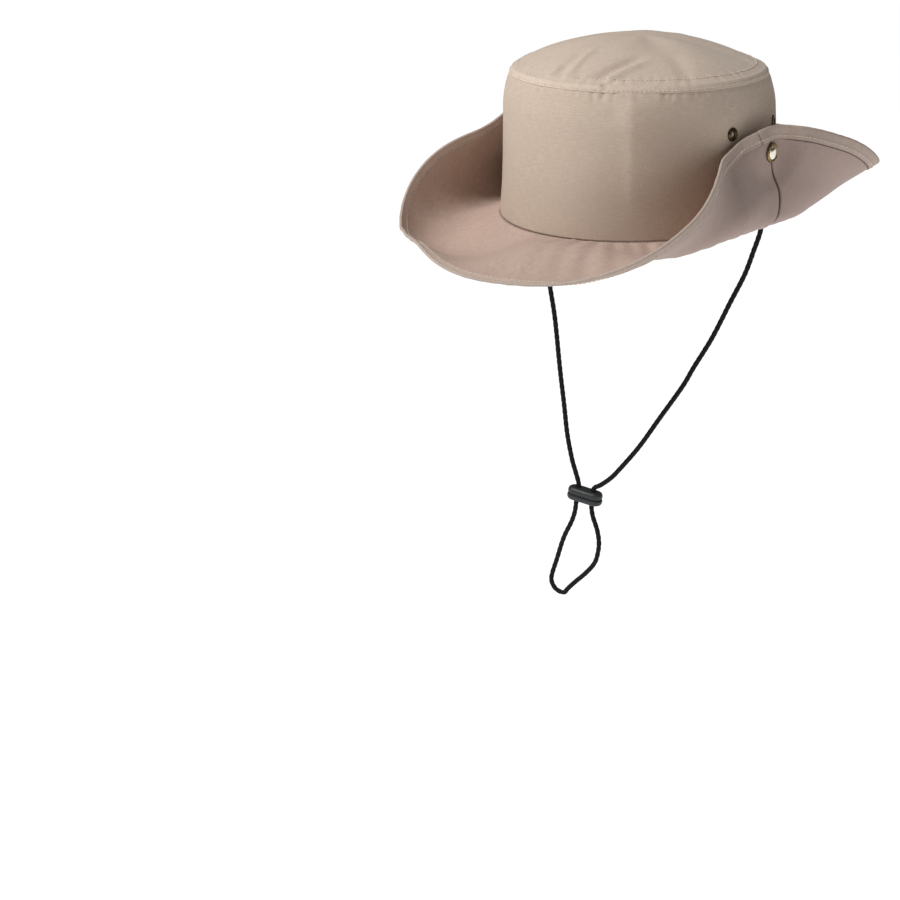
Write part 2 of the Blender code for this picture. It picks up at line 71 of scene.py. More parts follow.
# CHIN CORD
# One round braided polyester cord, sewn in at both sides of the head opening. It hangs in one upright plane, goes
# down through the bead, round a small loop and up again. Route points are world X and Z, straight in the bead.
CORD_WIDTH = 0.003
CORD_PLANE_START = 0.011
CORD_PLANE_SLOPE = 0.114
CORD_STEP = 0.0004
CORD_SIDES = 20
BRAID_PITCH = 0.0042
BRAID_STRANDS = 4
BRAID_RELIEF = 0.00016
BRAID_MEAN = 0.1
BEAD_LENGTH = 0.025
BEAD_DEPTH = 0.011
BEAD_HEIGHT = 0.009
BEAD_HOLE_SPACING = 0.0114
BEAD_ACROSS = -0.042
BEAD_UP = -0.2035
BEAD_TILT = math.radians(-7.0)
BEAD_LEAD = 0.002
WEARER_RIGHT_STRAND = [
    (-0.0794, 0.008), (-0.0794, 0.001), (-0.0790, -0.009), (-0.0768, -0.0242), (-0.0736, -0.0438),
    (-0.0697, -0.0647), (-0.0658, -0.0858), (-0.0617, -0.1193), (-0.0584, -0.1428), (-0.0557, -0.1632),
    (-0.0520, -0.1799), (-0.0490, -0.1890),
]
CORD_LOOP = [
    (-0.0494, -0.2165), (-0.0517, -0.2237), (-0.0559, -0.2326), (-0.0585, -0.2395), (-0.0624, -0.2528),
    (-0.0656, -0.2632), (-0.0660, -0.2686), (-0.0634, -0.2732), (-0.0593, -0.2752), (-0.0561, -0.2749),
    (-0.0545, -0.2728), (-0.0522, -0.2701), (-0.0480, -0.2657), (-0.0401, -0.2577), (-0.0341, -0.2497),
    (-0.0317, -0.2412), (-0.0313, -0.2340), (-0.0328, -0.2261), (-0.0360, -0.2175),
]
WEARER_LEFT_STRAND = [
    (-0.0305, -0.1943), (-0.0237, -0.1886), (-0.0177, -0.1818), (-0.0036, -0.1636), (0.0102, -0.1423),
    (0.0258, -0.1183), (0.0337, -0.1037), (0.0456, -0.0827), (0.0571, -0.0581), (0.0663, -0.0387),
    (0.0721, -0.0219), (0.0757, -0.0105), (0.0772, -0.0010), (0.0773, 0.008),
]


def linear(hex_colour):
    """sRGB hex value to a linear colour."""
    parts = [int(hex_colour[start:start + 2], 16) / 255 for start in (1, 3, 5)]
    return tuple(part / 12.92 if part <= 0.04045 else ((part + 0.055) / 1.055) ** 2.4 for part in parts) + (1.0,)


def add_node(tree, kind, values=None, links=None, **settings):
    """A node with its settings, socket values and links from other nodes' outputs."""
    made = tree.nodes.new(kind)
    for name, value in settings.items():
        setattr(made, name, value)
    for socket, value in (values or {}).items():
        made.inputs[socket].default_value = value
    for socket, source in (links or {}).items():
        tree.links.new(source, made.inputs[socket])
    return made


def new_finish(name):
    """New material, its node tree and its shader."""
    finish = bpy.data.materials.new(name)
    finish.use_nodes = True
    return finish, finish.node_tree, finish.node_tree.nodes["Principled BSDF"]


def rows_of_faces(name, points, places):
    """Mesh through closed rows of points. places has one more column, and gives each corner's spot in metres."""
    rows, columns = points.shape[:2]
    row = np.arange(rows - 1)[:, None] * columns
    column = np.arange(columns)[None, :]
    beside = (column + 1) % columns
    faces = np.stack([row + column, row + beside, row + beside + columns, row + column + columns], axis=-1)
    mesh = bpy.data.meshes.new(name)
    mesh.from_pydata(points.reshape(-1, 3).tolist(), [], faces.reshape(-1, 4).tolist())
    corners = np.stack([places[:-1, :-1], places[:-1, 1:], places[1:, 1:], places[1:, :-1]], axis=2)
    layer = mesh.uv_layers.new(name="cloth")
    layer.data.foreach_set("uv", np.ascontiguousarray(corners, dtype=np.float32).ravel())
    mesh.shade_smooth()
    return mesh


def cloth_places(across, along):
    """Spots on the flat cloth, from the distances of its columns and of its rows."""
    return np.stack(np.broadcast_arrays(across[None, :], along[:, None]), axis=2)


def close_ends(mesh, above=-1.0, face_out=False):
    """Fill the open rings that lie above a height, and turn the faces outwards where that is asked."""
    closing = bmesh.new()
    closing.from_mesh(mesh)
    rings = [edge for edge in closing.edges if edge.is_boundary and edge.verts[0].co.z > above]
    bmesh.ops.holes_fill(closing, edges=rings, sides=0)
    if face_out:
        bmesh.ops.recalc_face_normals(closing, faces=closing.faces)
    closing.to_mesh(mesh)
    closing.free()


def paint(mesh, name, values):
    """One number on each point, for the finish to read."""
    layer = mesh.attributes.new(name, "FLOAT", "POINT")
    layer.data.foreach_set("value", np.ascontiguousarray(values, dtype=np.float32).ravel())


def add_piece(name, mesh, finish, *replaced):
    """Object on the hat that stands for nodes of the solid model."""
    piece = bpy.data.objects.new(name, mesh)
    bpy.context.scene.collection.objects.link(piece)
    mesh.materials.append(finish)
    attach(piece, "root")
    if replaced:
        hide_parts(*replaced)
    return piece


def unit(vectors):
    """Vectors drawn to a length of one."""
    return vectors / np.maximum(np.linalg.norm(vectors, axis=-1, keepdims=True), 1e-12)


def smooth_between(before, start, end, after, share):
    """Spot on the smooth curve from start to end, with the points before and after them."""
    return 0.5 * (
        2 * start + (end - before) * share + (2 * before - 5 * start + 4 * end - after) * share ** 2
        + (3 * start - before - 3 * end + after) * share ** 3
    )


def through_points(points, steps=40):
    """Close-set points on the smooth curve through the given ones."""
    points = np.array(points, dtype=float)
    ends = np.vstack([2 * points[0] - points[1], points, 2 * points[-1] - points[-2]])
    share = (np.arange(steps) / steps)[:, None]
    curve = [smooth_between(*four, share) for four in zip(ends, ends[1:], ends[2:], ends[3:])]
    return np.vstack(curve + [points[-1:]])


def distances_along(curve):
    """How far each point of a curve is from its start, along it."""
    return np.concatenate([[0.0], np.cumsum(np.linalg.norm(np.diff(curve, axis=0), axis=1))])


def read_at(goals, along, rows):
    """Rows of numbers, known at some distances along a line, read off at others."""
    return np.stack([np.interp(goals, along, column) for column in rows.T], axis=-1)


def evenly_spaced(curve, step):
    """Points at even distances along a curve, and the distances."""
    along = distances_along(curve)
    goals = np.linspace(0.0, along[-1], max(2, int(round(along[-1] / step))) + 1)
    return read_at(goals, along, curve), goals


def in_cord_plane(across, up):
    return np.array([across, CORD_PLANE_START + CORD_PLANE_SLOPE * across, up])


plane_across = np.array([1.0, CORD_PLANE_SLOPE, 0.0]) / math.hypot(1.0, CORD_PLANE_SLOPE)
plane_through = np.array([-CORD_PLANE_SLOPE, 1.0, 0.0]) / math.hypot(1.0, CORD_PLANE_SLOPE)
bead_centre = in_cord_plane(BEAD_ACROSS, BEAD_UP)
bead_long = plane_across * math.cos(BEAD_TILT) + np.array([0.0, 0.0, math.sin(BEAD_TILT)])
bead_up = np.array([0.0, 0.0, math.cos(BEAD_TILT)]) - plane_across * math.sin(BEAD_TILT)


def in_bead_hole(side, above):
    return bead_centre + bead_long * side * BEAD_HOLE_SPACING / 2 + bead_up * above


bead_end = BEAD_HEIGHT / 2 + BEAD_LEAD
cord_route = [in_cord_plane(*point) for point in WEARER_RIGHT_STRAND]
cord_route += [in_bead_hole(-1, bead_end), in_bead_hole(-1, 0.0), in_bead_hole(-1, -bead_end)]
cord_route += [in_cord_plane(*point) for point in CORD_LOOP]
cord_route += [in_bead_hole(1, -bead_end), in_bead_hole(1, 0.0), in_bead_hole(1, bead_end)]
cord_route += [in_cord_plane(*point) for point in WEARER_LEFT_STRAND]
cord_path, cord_along = evenly_spaced(through_points(cord_route), CORD_STEP)

cord_side = np.cross(unit(np.gradient(cord_path, axis=0)), plane_through)
around = 2 * math.pi * np.arange(CORD_SIDES) / CORD_SIDES
one_way = np.sin(BRAID_STRANDS * around[None, :] + 2 * math.pi * cord_along[:, None] / BRAID_PITCH)
other_way = np.sin(BRAID_STRANDS * around[None, :] - 2 * math.pi * cord_along[:, None] / BRAID_PITCH)
plaits = np.maximum(one_way, other_way)
cord_radius = CORD_WIDTH / 2 + BRAID_RELIEF * (plaits - BRAID_MEAN)
cord_points = (
    cord_path[:, None, :]
    + plane_through * (np.cos(around)[None, :, None] * cord_radius[:, :, None])
    + cord_side[:, None, :] * (np.sin(around)[None, :, None] * cord_radius[:, :, None])
)
cord_places = cloth_places(np.arange(CORD_SIDES + 1) * math.pi * CORD_WIDTH / CORD_SIDES, cord_along)

# Braided polyester, dyed black and dull. A painted glint makes the top of each plait grey, and painted shade keeps it
# black between them. Real plaits are about 1 mm wide; four of them go round here, and the fibres are drawn 0.4 mm wide
# so that they show.
FIBRES_PER_METRE = 2600.0
braid, tree, shader = new_finish("braided_black_polyester")
where = add_node(tree, "ShaderNodeUVMap", uv_map="cloth")
# painted glint and shade: the plaits' heights, painted on the cord, make the colour lighter on top and darker between
height = add_node(tree, "ShaderNodeAttribute", attribute_name="painted_plait_glint")
fibres = add_node(
    tree, "ShaderNodeTexNoise", {"Scale": FIBRES_PER_METRE, "Detail": 2.0}, {"Vector": where.outputs["UV"]}
)
lift = add_node(
    tree, "ShaderNodeMath", {1: 0.5}, {0: fibres.outputs["Fac"], 2: height.outputs["Fac"]}, operation="MULTIPLY_ADD"
)
tone = add_node(tree, "ShaderNodeValToRGB", links={"Fac": lift.outputs["Value"]})
tone.color_ramp.elements[0].position = 0.35
tone.color_ramp.elements[0].color = linear("#040404")
tone.color_ramp.elements[1].position = 0.9286
tone.color_ramp.elements[1].color = linear("#161617")
tree.links.new(tone.outputs["Color"], shader.inputs["Base Color"])
shader.inputs["Roughness"].default_value = 0.8
shader.inputs["Specular IOR Level"].default_value = 0.2

cord_mesh = rows_of_faces("chin_cord_braid", cord_points, cord_places)
# the plaits' heights, which the finish turns into a painted glint on top and painted shade between
paint(cord_mesh, "painted_plait_glint", plaits * 0.5 + 0.4)
close_ends(cord_mesh)
chin_cord = add_piece("chin_cord_braid", cord_mesh, braid, "chin_cord")


# CORD BEAD
# A flat oval bead of black moulded plastic with two upright holes and a groove round its waist. It grips the two
# strands and slides on them.
BEAD_HOLE = 0.0036
BEAD_ROUND = 18
BEAD_GIRTH = 0.06
BEAD_EDGE = math.radians(38.0)
# inset and height, both as shares of half the bead's height
BEAD_OUTLINE = [
    (0.55, -1.0), (0.36, -0.97), (0.16, -0.86), (0.05, -0.68), (0.0, -0.44), (0.02, -0.2), (0.1, -0.16),
    (0.26, -0.13), (0.26, 0.05), (0.14, 0.09), (0.07, 0.14), (0.05, 0.4), (0.08, 0.62), (0.2, 0.84),
    (0.38, 0.96), (0.58, 1.0),
]

bead_rows = []
for inset, height_share in BEAD_OUTLINE:
    radius = BEAD_DEPTH / 2 - inset * BEAD_HEIGHT / 2
    ring = []
    for end, start in ((1, -math.pi / 2), (-1, math.pi / 2)):
        for angle in start + math.pi * np.arange(BEAD_ROUND + 1) / BEAD_ROUND:
            across = end * (BEAD_LENGTH - BEAD_DEPTH) / 2 + radius * math.cos(angle)
            ring.append((across, radius * math.sin(angle), height_share * BEAD_HEIGHT / 2))
    bead_rows.append(ring)
bead_rows = np.array(bead_rows)
bead_places = cloth_places(np.linspace(0.0, BEAD_GIRTH, bead_rows.shape[1] + 1), bead_rows[:, 0, 2])


def mottled_finish(name, per_metre, detail, deep, light, roughness, metallic=0.0, span=(0.0, 1.0)):
    """Material whose colour drifts between two tones in patches, so many to a metre."""
    finish, tree, shader = new_finish(name)
    shader.inputs["Roughness"].default_value = roughness
    shader.inputs["Metallic"].default_value = metallic
    where = add_node(tree, "ShaderNodeTexCoord")
    mottle = add_node(
        tree, "ShaderNodeTexNoise", {"Scale": per_metre, "Detail": detail}, {"Vector": where.outputs["Object"]}
    )
    tone = add_node(tree, "ShaderNodeValToRGB", links={"Fac": mottle.outputs["Fac"]})
    for stop, place, colour in zip(tone.color_ramp.elements, span, (deep, light)):
        stop.position = place
        stop.color = linear(colour)
    tree.links.new(tone.outputs["Color"], shader.inputs["Base Color"])
    return finish, tree, shader, mottle


# Nylon from a steel mould: near black, half dull, with a fine even grain that the mould's surface leaves. The real
# grain is about 0.1 mm; it is drawn 0.7 mm wide so that it shows. The colour drifts in patches 6 mm wide.
GRAINS_PER_METRE = 1500.0
moulded, tree, shader, _ = mottled_finish("moulded_black_nylon", 180.0, 2.0, "#1B1D1F", "#2B2E30", 0.5)
where = add_node(tree, "ShaderNodeTexCoord")
grain = add_node(
    tree, "ShaderNodeTexNoise", {"Scale": GRAINS_PER_METRE, "Detail": 3.0}, {"Vector": where.outputs["Object"]}
)
bump = add_node(
    tree, "ShaderNodeBump", {"Strength": 0.25, "Distance": 0.0002}, {"Height": grain.outputs["Fac"]}
)
tree.links.new(bump.outputs["Normal"], shader.inputs["Normal"])

bead_mesh = rows_of_faces("cord_bead", bead_rows, bead_places)
close_ends(bead_mesh, face_out=True)
bead = add_piece("cord_bead", bead_mesh, moulded, "cord_lock")
bead.location = Vector(bead_centre)
bead.rotation_euler = (0.0, -BEAD_TILT, math.atan(CORD_PLANE_SLOPE))
for side in (-1, 1):
    bpy.ops.mesh.primitive_cylinder_add(vertices=32, radius=BEAD_HOLE / 2, depth=3 * BEAD_HEIGHT)
    drill = bpy.context.object
    drill.location = Vector(in_bead_hole(side, 0.0))
    drill.rotation_euler = bead.rotation_euler
    hole = bead.modifiers.new("hole", "BOOLEAN")
    hole.object = drill
    bpy.context.view_layer.objects.active = bead
    bpy.ops.object.modifier_apply(modifier="hole")
    bpy.data.objects.remove(drill, do_unlink=True)
bead.data.shade_smooth()
bead.data.set_sharp_from_angle(angle=BEAD_EDGE)


# CROWN SIDE
# An upright band of plain-woven tan cotton, sewn into a ring and joined to the brim below and the top above. It
# draws in a little with height and turns in at the shoulder. Turns count quarter rounds: 0 front, 1 wearer's left.
OPENING_HALF_WIDTH = 0.0825
OPENING_HALF_LENGTH = 0.097
CROWN_HEIGHT = 0.089
TOP_HALF_WIDTH = 0.073
TOP_HALF_LENGTH = 0.089
TOP_FORWARD = 0.004
TOP_TILT = math.tan(math.radians(2.3))
CROWN_CLOTH = 0.0011
QUARTER = math.pi / 2
SNAP_FROM_EDGE = 0.016
WALL_PULL = 0.0035
WALL_FLAT = 0.0095
WALL_BLEND = 0.012
CROWN_COLUMNS = 512
CROWN_GIRTH = 0.56
PUCKER_RISE = 0.00012
PINCH_SLANT = 3.0
RIDGE_RISE = -0.00036
WAVE_RISE = 0.0003
WAVE_COUNT = 14
# height and how far the side has drawn in from the opening's oval to the top's oval
CROWN_TAPER = [(-0.1, -0.06), (0.0, 0.0), (0.2, 0.13), (0.5, 0.2), (0.8, 0.31), (0.92, 0.58), (1.0, 1.0), (1.1, 1.6)]
# the upright crease between the front and the wearer's left: turn, spread, rise
CREASE_TURN, CREASE_SPREAD, CREASE_RISE = 0.37, 0.12, 0.0032
# a small dent beside it, under the top seam: turn, height, their spreads, depth
DENT_TURN, DENT_HEIGHT, DENT_ROUND, DENT_UP, DENT_DEPTH = 0.3, 0.84, 0.045, 0.06, -0.0007
# soft upright folds: turn, spread, depth as a share of the height
CROWN_FOLDS = [
    (3.45, 0.28, -0.008),
    (0.34, 0.07, -0.008), (0.1, 0.12, 0.006), (3.2, 0.1, -0.006), (1.7, 0.12, -0.007), (2.4, 0.14, 0.006),
]
# short pinches under the top seam: turn, spread, depth
SEAM_PINCHES = [
    (0.18, 0.012, -0.0007), (0.25, 0.014, -0.0009), (0.3, 0.01, -0.0006), (0.52, 0.012, -0.0005),
    (0.575, 0.01, -0.0005), (0.66, 0.012, -0.0006), (0.71, 0.009, -0.0005), (3.9, 0.012, -0.0004),
]


def wrapped(turns):
    """Turns counted the short way round, from -2 to 2."""
    return (turns + 2.0) % 4.0 - 2.0


def bell(share):
    """One in the middle, falling smoothly to nothing beyond a share of two."""
    return np.exp(-share ** 2)


def ease(share):
    """Smooth step from nothing at a share of nought to one at a share of one."""
    share = np.clip(share, 0.0, 1.0)
    return share * share * (3.0 - 2.0 * share)


def random_waves(round_share, along, seed, rounds, alongs):
    """Uneven ripples that close round the hat: cycles round it and cycles per metre along, from seeded draws."""
    draw = np.random.default_rng(seed)
    total = 0.0
    for _ in range(WAVE_COUNT):
        cycles = draw.integers(rounds[0], rounds[1] + 1)
        rate = draw.uniform(alongs[0], alongs[1])
        total = total + np.sin(2 * math.pi * (cycles * round_share + rate * along) + draw.uniform(0, 2 * math.pi))
    return total / math.sqrt(WAVE_COUNT / 2)


def outward(turn):
    """Level direction square to the opening's oval."""
    angle = (turn - 1.0) * QUARTER
    return unit(np.stack(
        [np.cos(angle) / OPENING_HALF_WIDTH, np.sin(angle) / OPENING_HALF_LENGTH, 0 * angle], axis=-1
    ))


def drawn_in(height):
    """CROWN_TAPER read at a height, with its corners rounded."""
    table = np.array(CROWN_TAPER)
    window = np.linspace(-0.05, 0.05, 9)
    return np.mean([np.interp(height + part, table[:, 0], table[:, 1]) for part in window], axis=0)


def held_flat(points, levels, flat, blend):
    """Cloth close to a press stud drawn to the stud's upright plane."""
    points = points.copy()
    for level, seat in zip(levels, SNAP_SEATS):
        away = np.hypot(points[..., 1] - seat[1], points[..., 2] - seat[2])
        weight = (1.0 - ease((away - flat) / blend)) * (points[..., 0] * seat[0] > 0.0)
        points[..., 0] += (level - points[..., 0]) * weight
    return points


def facing(points):
    """Unit normals of a grid that closes on itself along its second axis."""
    along = np.roll(points, -1, axis=1) - np.roll(points, 1, axis=1)
    across = np.gradient(points, axis=0)
    return unit(np.cross(along, across))


def crown_surface(turn, height):
    """Middle of the crown's side, before the press studs draw it out."""
    angle = (turn - 1.0) * QUARTER
    taper = drawn_in(height)
    half_width = OPENING_HALF_WIDTH + (TOP_HALF_WIDTH - OPENING_HALF_WIDTH) * taper
    half_length = OPENING_HALF_LENGTH + (TOP_HALF_LENGTH - OPENING_HALF_LENGTH) * taper
    y = half_length * np.sin(angle) - TOP_FORWARD * height
    points = np.stack([half_width * np.cos(angle), y, CROWN_HEIGHT * height - TOP_TILT * y * height], axis=-1)
    swell = sum(depth * bell(wrapped(turn - place) / spread) for place, spread, depth in CROWN_FOLDS)
    swell = swell * CROWN_HEIGHT * np.sin(math.pi * np.clip(height, 0.0, 1.0)) ** 2
    return points + outward(turn) * swell[..., None]


# the two sides, and the middle of each press stud on the brim's cloth there
SNAP_TURNS = (1.0, 3.0)
SNAP_SEATS = ((0.0921, 0.0, 0.04607), (-0.09322, 0.0, 0.04173))
crown_turns = 4.0 * np.arange(CROWN_COLUMNS) / CROWN_COLUMNS
crown_heights = np.concatenate([
    np.linspace(0.0, 0.06, 7), np.linspace(0.08, 0.86, 34), np.linspace(0.875, 1.0, 22)
])
turn_grid, height_grid = np.meshgrid(crown_turns, crown_heights)
crown_grid = crown_surface(turn_grid, height_grid)
wall_levels = []
for snap_turn, seat in zip(SNAP_TURNS, SNAP_SEATS):
    plain = crown_surface(np.array([snap_turn]), np.array([seat[2] / CROWN_HEIGHT]))[0, 0]
    wall_levels.append(plain + math.copysign(WALL_PULL, plain))
crown_grid = held_flat(crown_grid, wall_levels, WALL_FLAT, WALL_BLEND)

# Relief, in metres outwards: puckers and pinches under the top seam, the step where the seam's hidden edge ends, slow
# waves in the cloth, the crease and the dent.
from_top = (1.0 - height_grid) * CROWN_HEIGHT
pucker = random_waves(turn_grid / 4, from_top, 3, (38, 96), (-40, 40)) * bell((from_top - 0.0045) / 0.0032)
pucker_front = 0.35 + 0.65 * bell(wrapped(turn_grid - 0.42) / 0.55)
pinches = sum(
    depth * bell(wrapped(turn_grid - place - PINCH_SLANT * math.sin(40.0 * place) * from_top) / spread)
    * bell((from_top - 0.0052) / 0.003)
    for place, spread, depth in SEAM_PINCHES
)
ridge = random_waves(turn_grid / 4, from_top, 4, (5, 23), (-4, 4)) * 0.3 + 0.8
ridge = RIDGE_RISE * ridge * ease((from_top - 0.0056) / 0.004) * (1 - ease((from_top - 0.0105) / 0.014))
slow = random_waves(turn_grid / 4, from_top, 8, (3, 11), (-9, 9)) * np.sin(math.pi * np.clip(height_grid, 0, 1))
crease = CREASE_RISE * np.exp(-np.sqrt((wrapped(turn_grid - CREASE_TURN) / CREASE_SPREAD) ** 2 + 0.012))
crease = crease * ease((height_grid - 0.05) / 0.5) * ease((1.0 - height_grid) / 0.14)
dent = DENT_DEPTH * bell(wrapped(turn_grid - DENT_TURN) / DENT_ROUND) * bell((height_grid - DENT_HEIGHT) / DENT_UP)
relief = PUCKER_RISE * pucker * pucker_front + pinches + ridge + WAVE_RISE * slow + crease + dent
crown_grid = crown_grid + facing(crown_grid) * relief[..., None]
# painted shade: a dark line along the foot of the crown side, where it meets the brim
crown_shade = 0.42 * (1.0 - ease((height_grid * CROWN_HEIGHT - 0.0002) / 0.0006))
crown_places = cloth_places(np.arange(CROWN_COLUMNS + 1) / CROWN_COLUMNS * CROWN_GIRTH, crown_heights * CROWN_HEIGHT)


def thicken(piece, thickness):
    """Cloth of a thickness, half of it on each side of the mesh."""
    solid = piece.modifiers.new("cloth", "SOLIDIFY")
    solid.thickness = thickness
    solid.offset = 0.0
    return solid


# Plain-woven cotton, yarn dyed tan: dull, with slightly uneven yarns, a painted highlight where the pieces ask for
# one, and painted shade where a seam turns the cloth away. Real yarns are 0.3 mm apart; they are drawn about 0.8 mm
# apart so that they show. Pale flecks are about 1 mm wide and faded patches about 30 mm.
YARN = 0.0008
SLUB_LENGTH = 0.006
FLECKS_PER_METRE = 1100.0
PATCHES_PER_METRE = 30.0
PAINTED_HIGHLIGHT = "#DDD0C3"
SEAM_PAINTED_SHADE = "#43352A"


def plain_weave(name, deep, middle_tone, light, patch, across):
    """Woven cotton in three tones and a faded one. across is the share of the yarns that run up the piece."""
    finish, tree, shader = new_finish(name)
    where = add_node(tree, "ShaderNodeUVMap", uv_map="cloth")
    weft_scale, warp_scale = (1 / SLUB_LENGTH, 1 / YARN, 1.0), (1 / YARN, 1 / SLUB_LENGTH, 1.0)
    sets = []
    for scale, start in ((weft_scale, (0.0, 0.0, 0.0)), (warp_scale, (0.37, 0.21, 0.0))):
        drawn_out = add_node(
            tree, "ShaderNodeMapping", {"Scale": scale, "Location": start}, {"Vector": where.outputs["UV"]}
        )
        sets.append(add_node(
            tree, "ShaderNodeTexNoise", {"Scale": 1.0, "Detail": 2.0, "Roughness": 0.6},
            {"Vector": drawn_out.outputs["Vector"]}
        ))
    yarns = add_node(
        tree, "ShaderNodeMix", {"Factor": across}, {"A": sets[0].outputs["Fac"], "B": sets[1].outputs["Fac"]},
        data_type="FLOAT"
    )
    tone = add_node(tree, "ShaderNodeValToRGB", links={"Fac": yarns.outputs["Result"]})
    ramp = tone.color_ramp
    ramp.elements[0].position = 0.3
    ramp.elements[0].color = linear(deep)
    ramp.elements[1].position = 0.7
    ramp.elements[1].color = linear(light)
    ramp.elements.new(0.5).color = linear(middle_tone)

    # over the yarns: pale flecks, faded patches, the painted highlight and the painted shade of the seams
    solid_place = add_node(tree, "ShaderNodeTexCoord")
    layers = []
    for pattern, low, high, most, colour in (
        ({"Scale": FLECKS_PER_METRE, "Detail": 2.0}, 0.6, 0.8, 0.6, light),
        ({"Scale": PATCHES_PER_METRE, "Detail": 3.0, "Roughness": 0.55}, 0.4, 0.7, 0.4, patch),
    ):
        spots = add_node(tree, "ShaderNodeTexNoise", pattern, {"Vector": solid_place.outputs["Object"]})
        share = add_node(
            tree, "ShaderNodeMapRange", {"From Min": low, "From Max": high, "To Min": 0.0, "To Max": most},
            {"Value": spots.outputs["Fac"]}
        )
        layers.append((share.outputs["Result"], colour))
    # the painted highlight and the painted shade come from numbers painted on each piece's points
    for painted, colour in (("painted_highlight", PAINTED_HIGHLIGHT), ("shade", SEAM_PAINTED_SHADE)):
        layers.append((add_node(tree, "ShaderNodeAttribute", attribute_name=painted).outputs["Fac"], colour))
    cloth_colour = tone.outputs["Color"]
    for share, colour in layers:
        laid_over = add_node(
            tree, "ShaderNodeMix", {"B": linear(colour)}, {"Factor": share, "A": cloth_colour}, data_type="RGBA"
        )
        cloth_colour = laid_over.outputs["Result"]
    bump = add_node(
        tree, "ShaderNodeBump", {"Strength": 0.3, "Distance": 0.0003}, {"Height": yarns.outputs["Result"]}
    )
    tree.links.new(cloth_colour, shader.inputs["Base Color"])
    tree.links.new(bump.outputs["Normal"], shader.inputs["Normal"])
    shader.inputs["Roughness"].default_value = 0.92
    shader.inputs["Specular IOR Level"].default_value = 0.25
    shader.inputs["Sheen Weight"].default_value = 0.08
    shader.inputs["Sheen Roughness"].default_value = 0.5
    return finish


crown_cotton = plain_weave("plain_woven_tan_cotton", "#B4A191", "#BEAC9C", "#C9B8A9", "#B8A796", 0.4)
crown_mesh = rows_of_faces("crown_side_cloth", crown_grid, crown_places)
paint(crown_mesh, "shade", crown_shade)
crown_side = add_piece("crown_side_cloth", crown_mesh, crown_cotton, "crown_side")
thicken(crown_side, CROWN_CLOTH)


# CROWN TOP
# An oval panel of the same cotton, cut a little full so that it domes. Its edge laps 3 mm over the side and is sewn
# down with two rows of stitches, and small folds run in from the seam.
TOP_CLOTH = 0.0006
TOP_DOME = 0.0195
DOME_POWER = 2.2
LAP = 0.0032
LAP_RISE = 0.00035
WELT_WIDTH = 0.0062
WELT_RISE = 0.00025
TOP_REACH = 0.081
TOP_PUCKER_RISE = 0.00018
TOP_WAVE_RISE = 0.0005
# creases across the panel from one point to another, as shares of its half width and half length, then depth and
# width in metres
TOP_FOLDS = [
    (0.27, -0.86, 0.40, -0.40, -0.00221, 0.0036),
    (0.355, -0.87, 0.47, -0.47, 0.0017, 0.0024),
    (0.36, -0.93, 0.43, -0.84, -0.00136, 0.0016),
    (-0.46, -0.84, -0.34, -0.66, 0.00102, 0.0019),
    (-0.13, -0.96, -0.13, -0.80, 0.00102, 0.0019),
    (0.03, -0.95, -0.03, -0.50, 0.00136, 0.0027),
    (-0.08, -0.90, -0.10, -0.50, -0.00102, 0.0034),
    (0.80, -0.45, 0.45, -0.2, -0.00102, 0.006),
    (0.75, 0.45, 0.3, 0.2, -0.00102, 0.007),
    (-0.7, 0.5, -0.3, 0.2, -0.00102, 0.007),
    (-0.1, 0.9, 0.0, 0.4, 0.00102, 0.006),
]
# the dome sags towards the wearer's back left: slope, and the level direction
TOP_SAG = -0.028
SAG_WAY = (0.81, 0.59)


def top_surface(turn, share):
    """Middle of the top panel's cloth, at a share of the way from its centre to the seam."""
    angle = (turn - 1.0) * QUARTER
    y = TOP_HALF_LENGTH * share * np.sin(angle) - TOP_FORWARD
    x = TOP_HALF_WIDTH * share * np.cos(angle)
    z = CROWN_HEIGHT + TOP_DOME * (1.0 - share ** DOME_POWER) - TOP_TILT * y
    z = z + TOP_SAG * (x * SAG_WAY[0] + y * SAG_WAY[1]) * (1.0 - share ** 2)
    return np.stack([x, y, z], axis=-1)


def fold_depth(x, y):
    """Rise of the listed creases at a spot on the panel, which fade towards their far ends."""
    total = 0.0
    for x0, y0, x1, y1, depth, width in TOP_FOLDS:
        start = np.array([x0 * TOP_HALF_WIDTH, y0 * TOP_HALF_LENGTH])
        line = np.array([x1 * TOP_HALF_WIDTH, y1 * TOP_HALF_LENGTH]) - start
        length = np.linalg.norm(line)
        line /= length
        along = (x - start[0]) * line[0] + (y - start[1]) * line[1]
        across = -(x - start[0]) * line[1] + (y - start[1]) * line[0]
        share = along / length
        total = total + depth * bell(across / width) * ease(share * 5 + 0.6) * (1 - ease((share - 0.55) / 0.5))
    return total


lap_rows = np.array([LAP, 0.0026, 0.002, 0.001, 0.0])
lap_grid_turns, lap_grid = np.meshgrid(crown_turns, 1.0 - lap_rows / CROWN_HEIGHT)
panel_shares = np.concatenate([
    1.0 - np.array([0.0007, 0.0014, 0.0022, 0.0031, 0.0041, 0.0051, 0.006, 0.0068, 0.0076, 0.0086]) / 0.08,
    np.linspace(0.875, 0.05, 40), [0.012]
])
panel_turns, panel_grid = np.meshgrid(crown_turns, panel_shares)
top_grid = np.concatenate([crown_surface(lap_grid_turns, lap_grid), top_surface(panel_turns, panel_grid)], axis=0)
from_seam = np.concatenate([-lap_rows, (1.0 - panel_shares) * TOP_REACH])[:, None] * np.ones((1, CROWN_COLUMNS))
top_turns = np.broadcast_to(crown_turns, from_seam.shape)
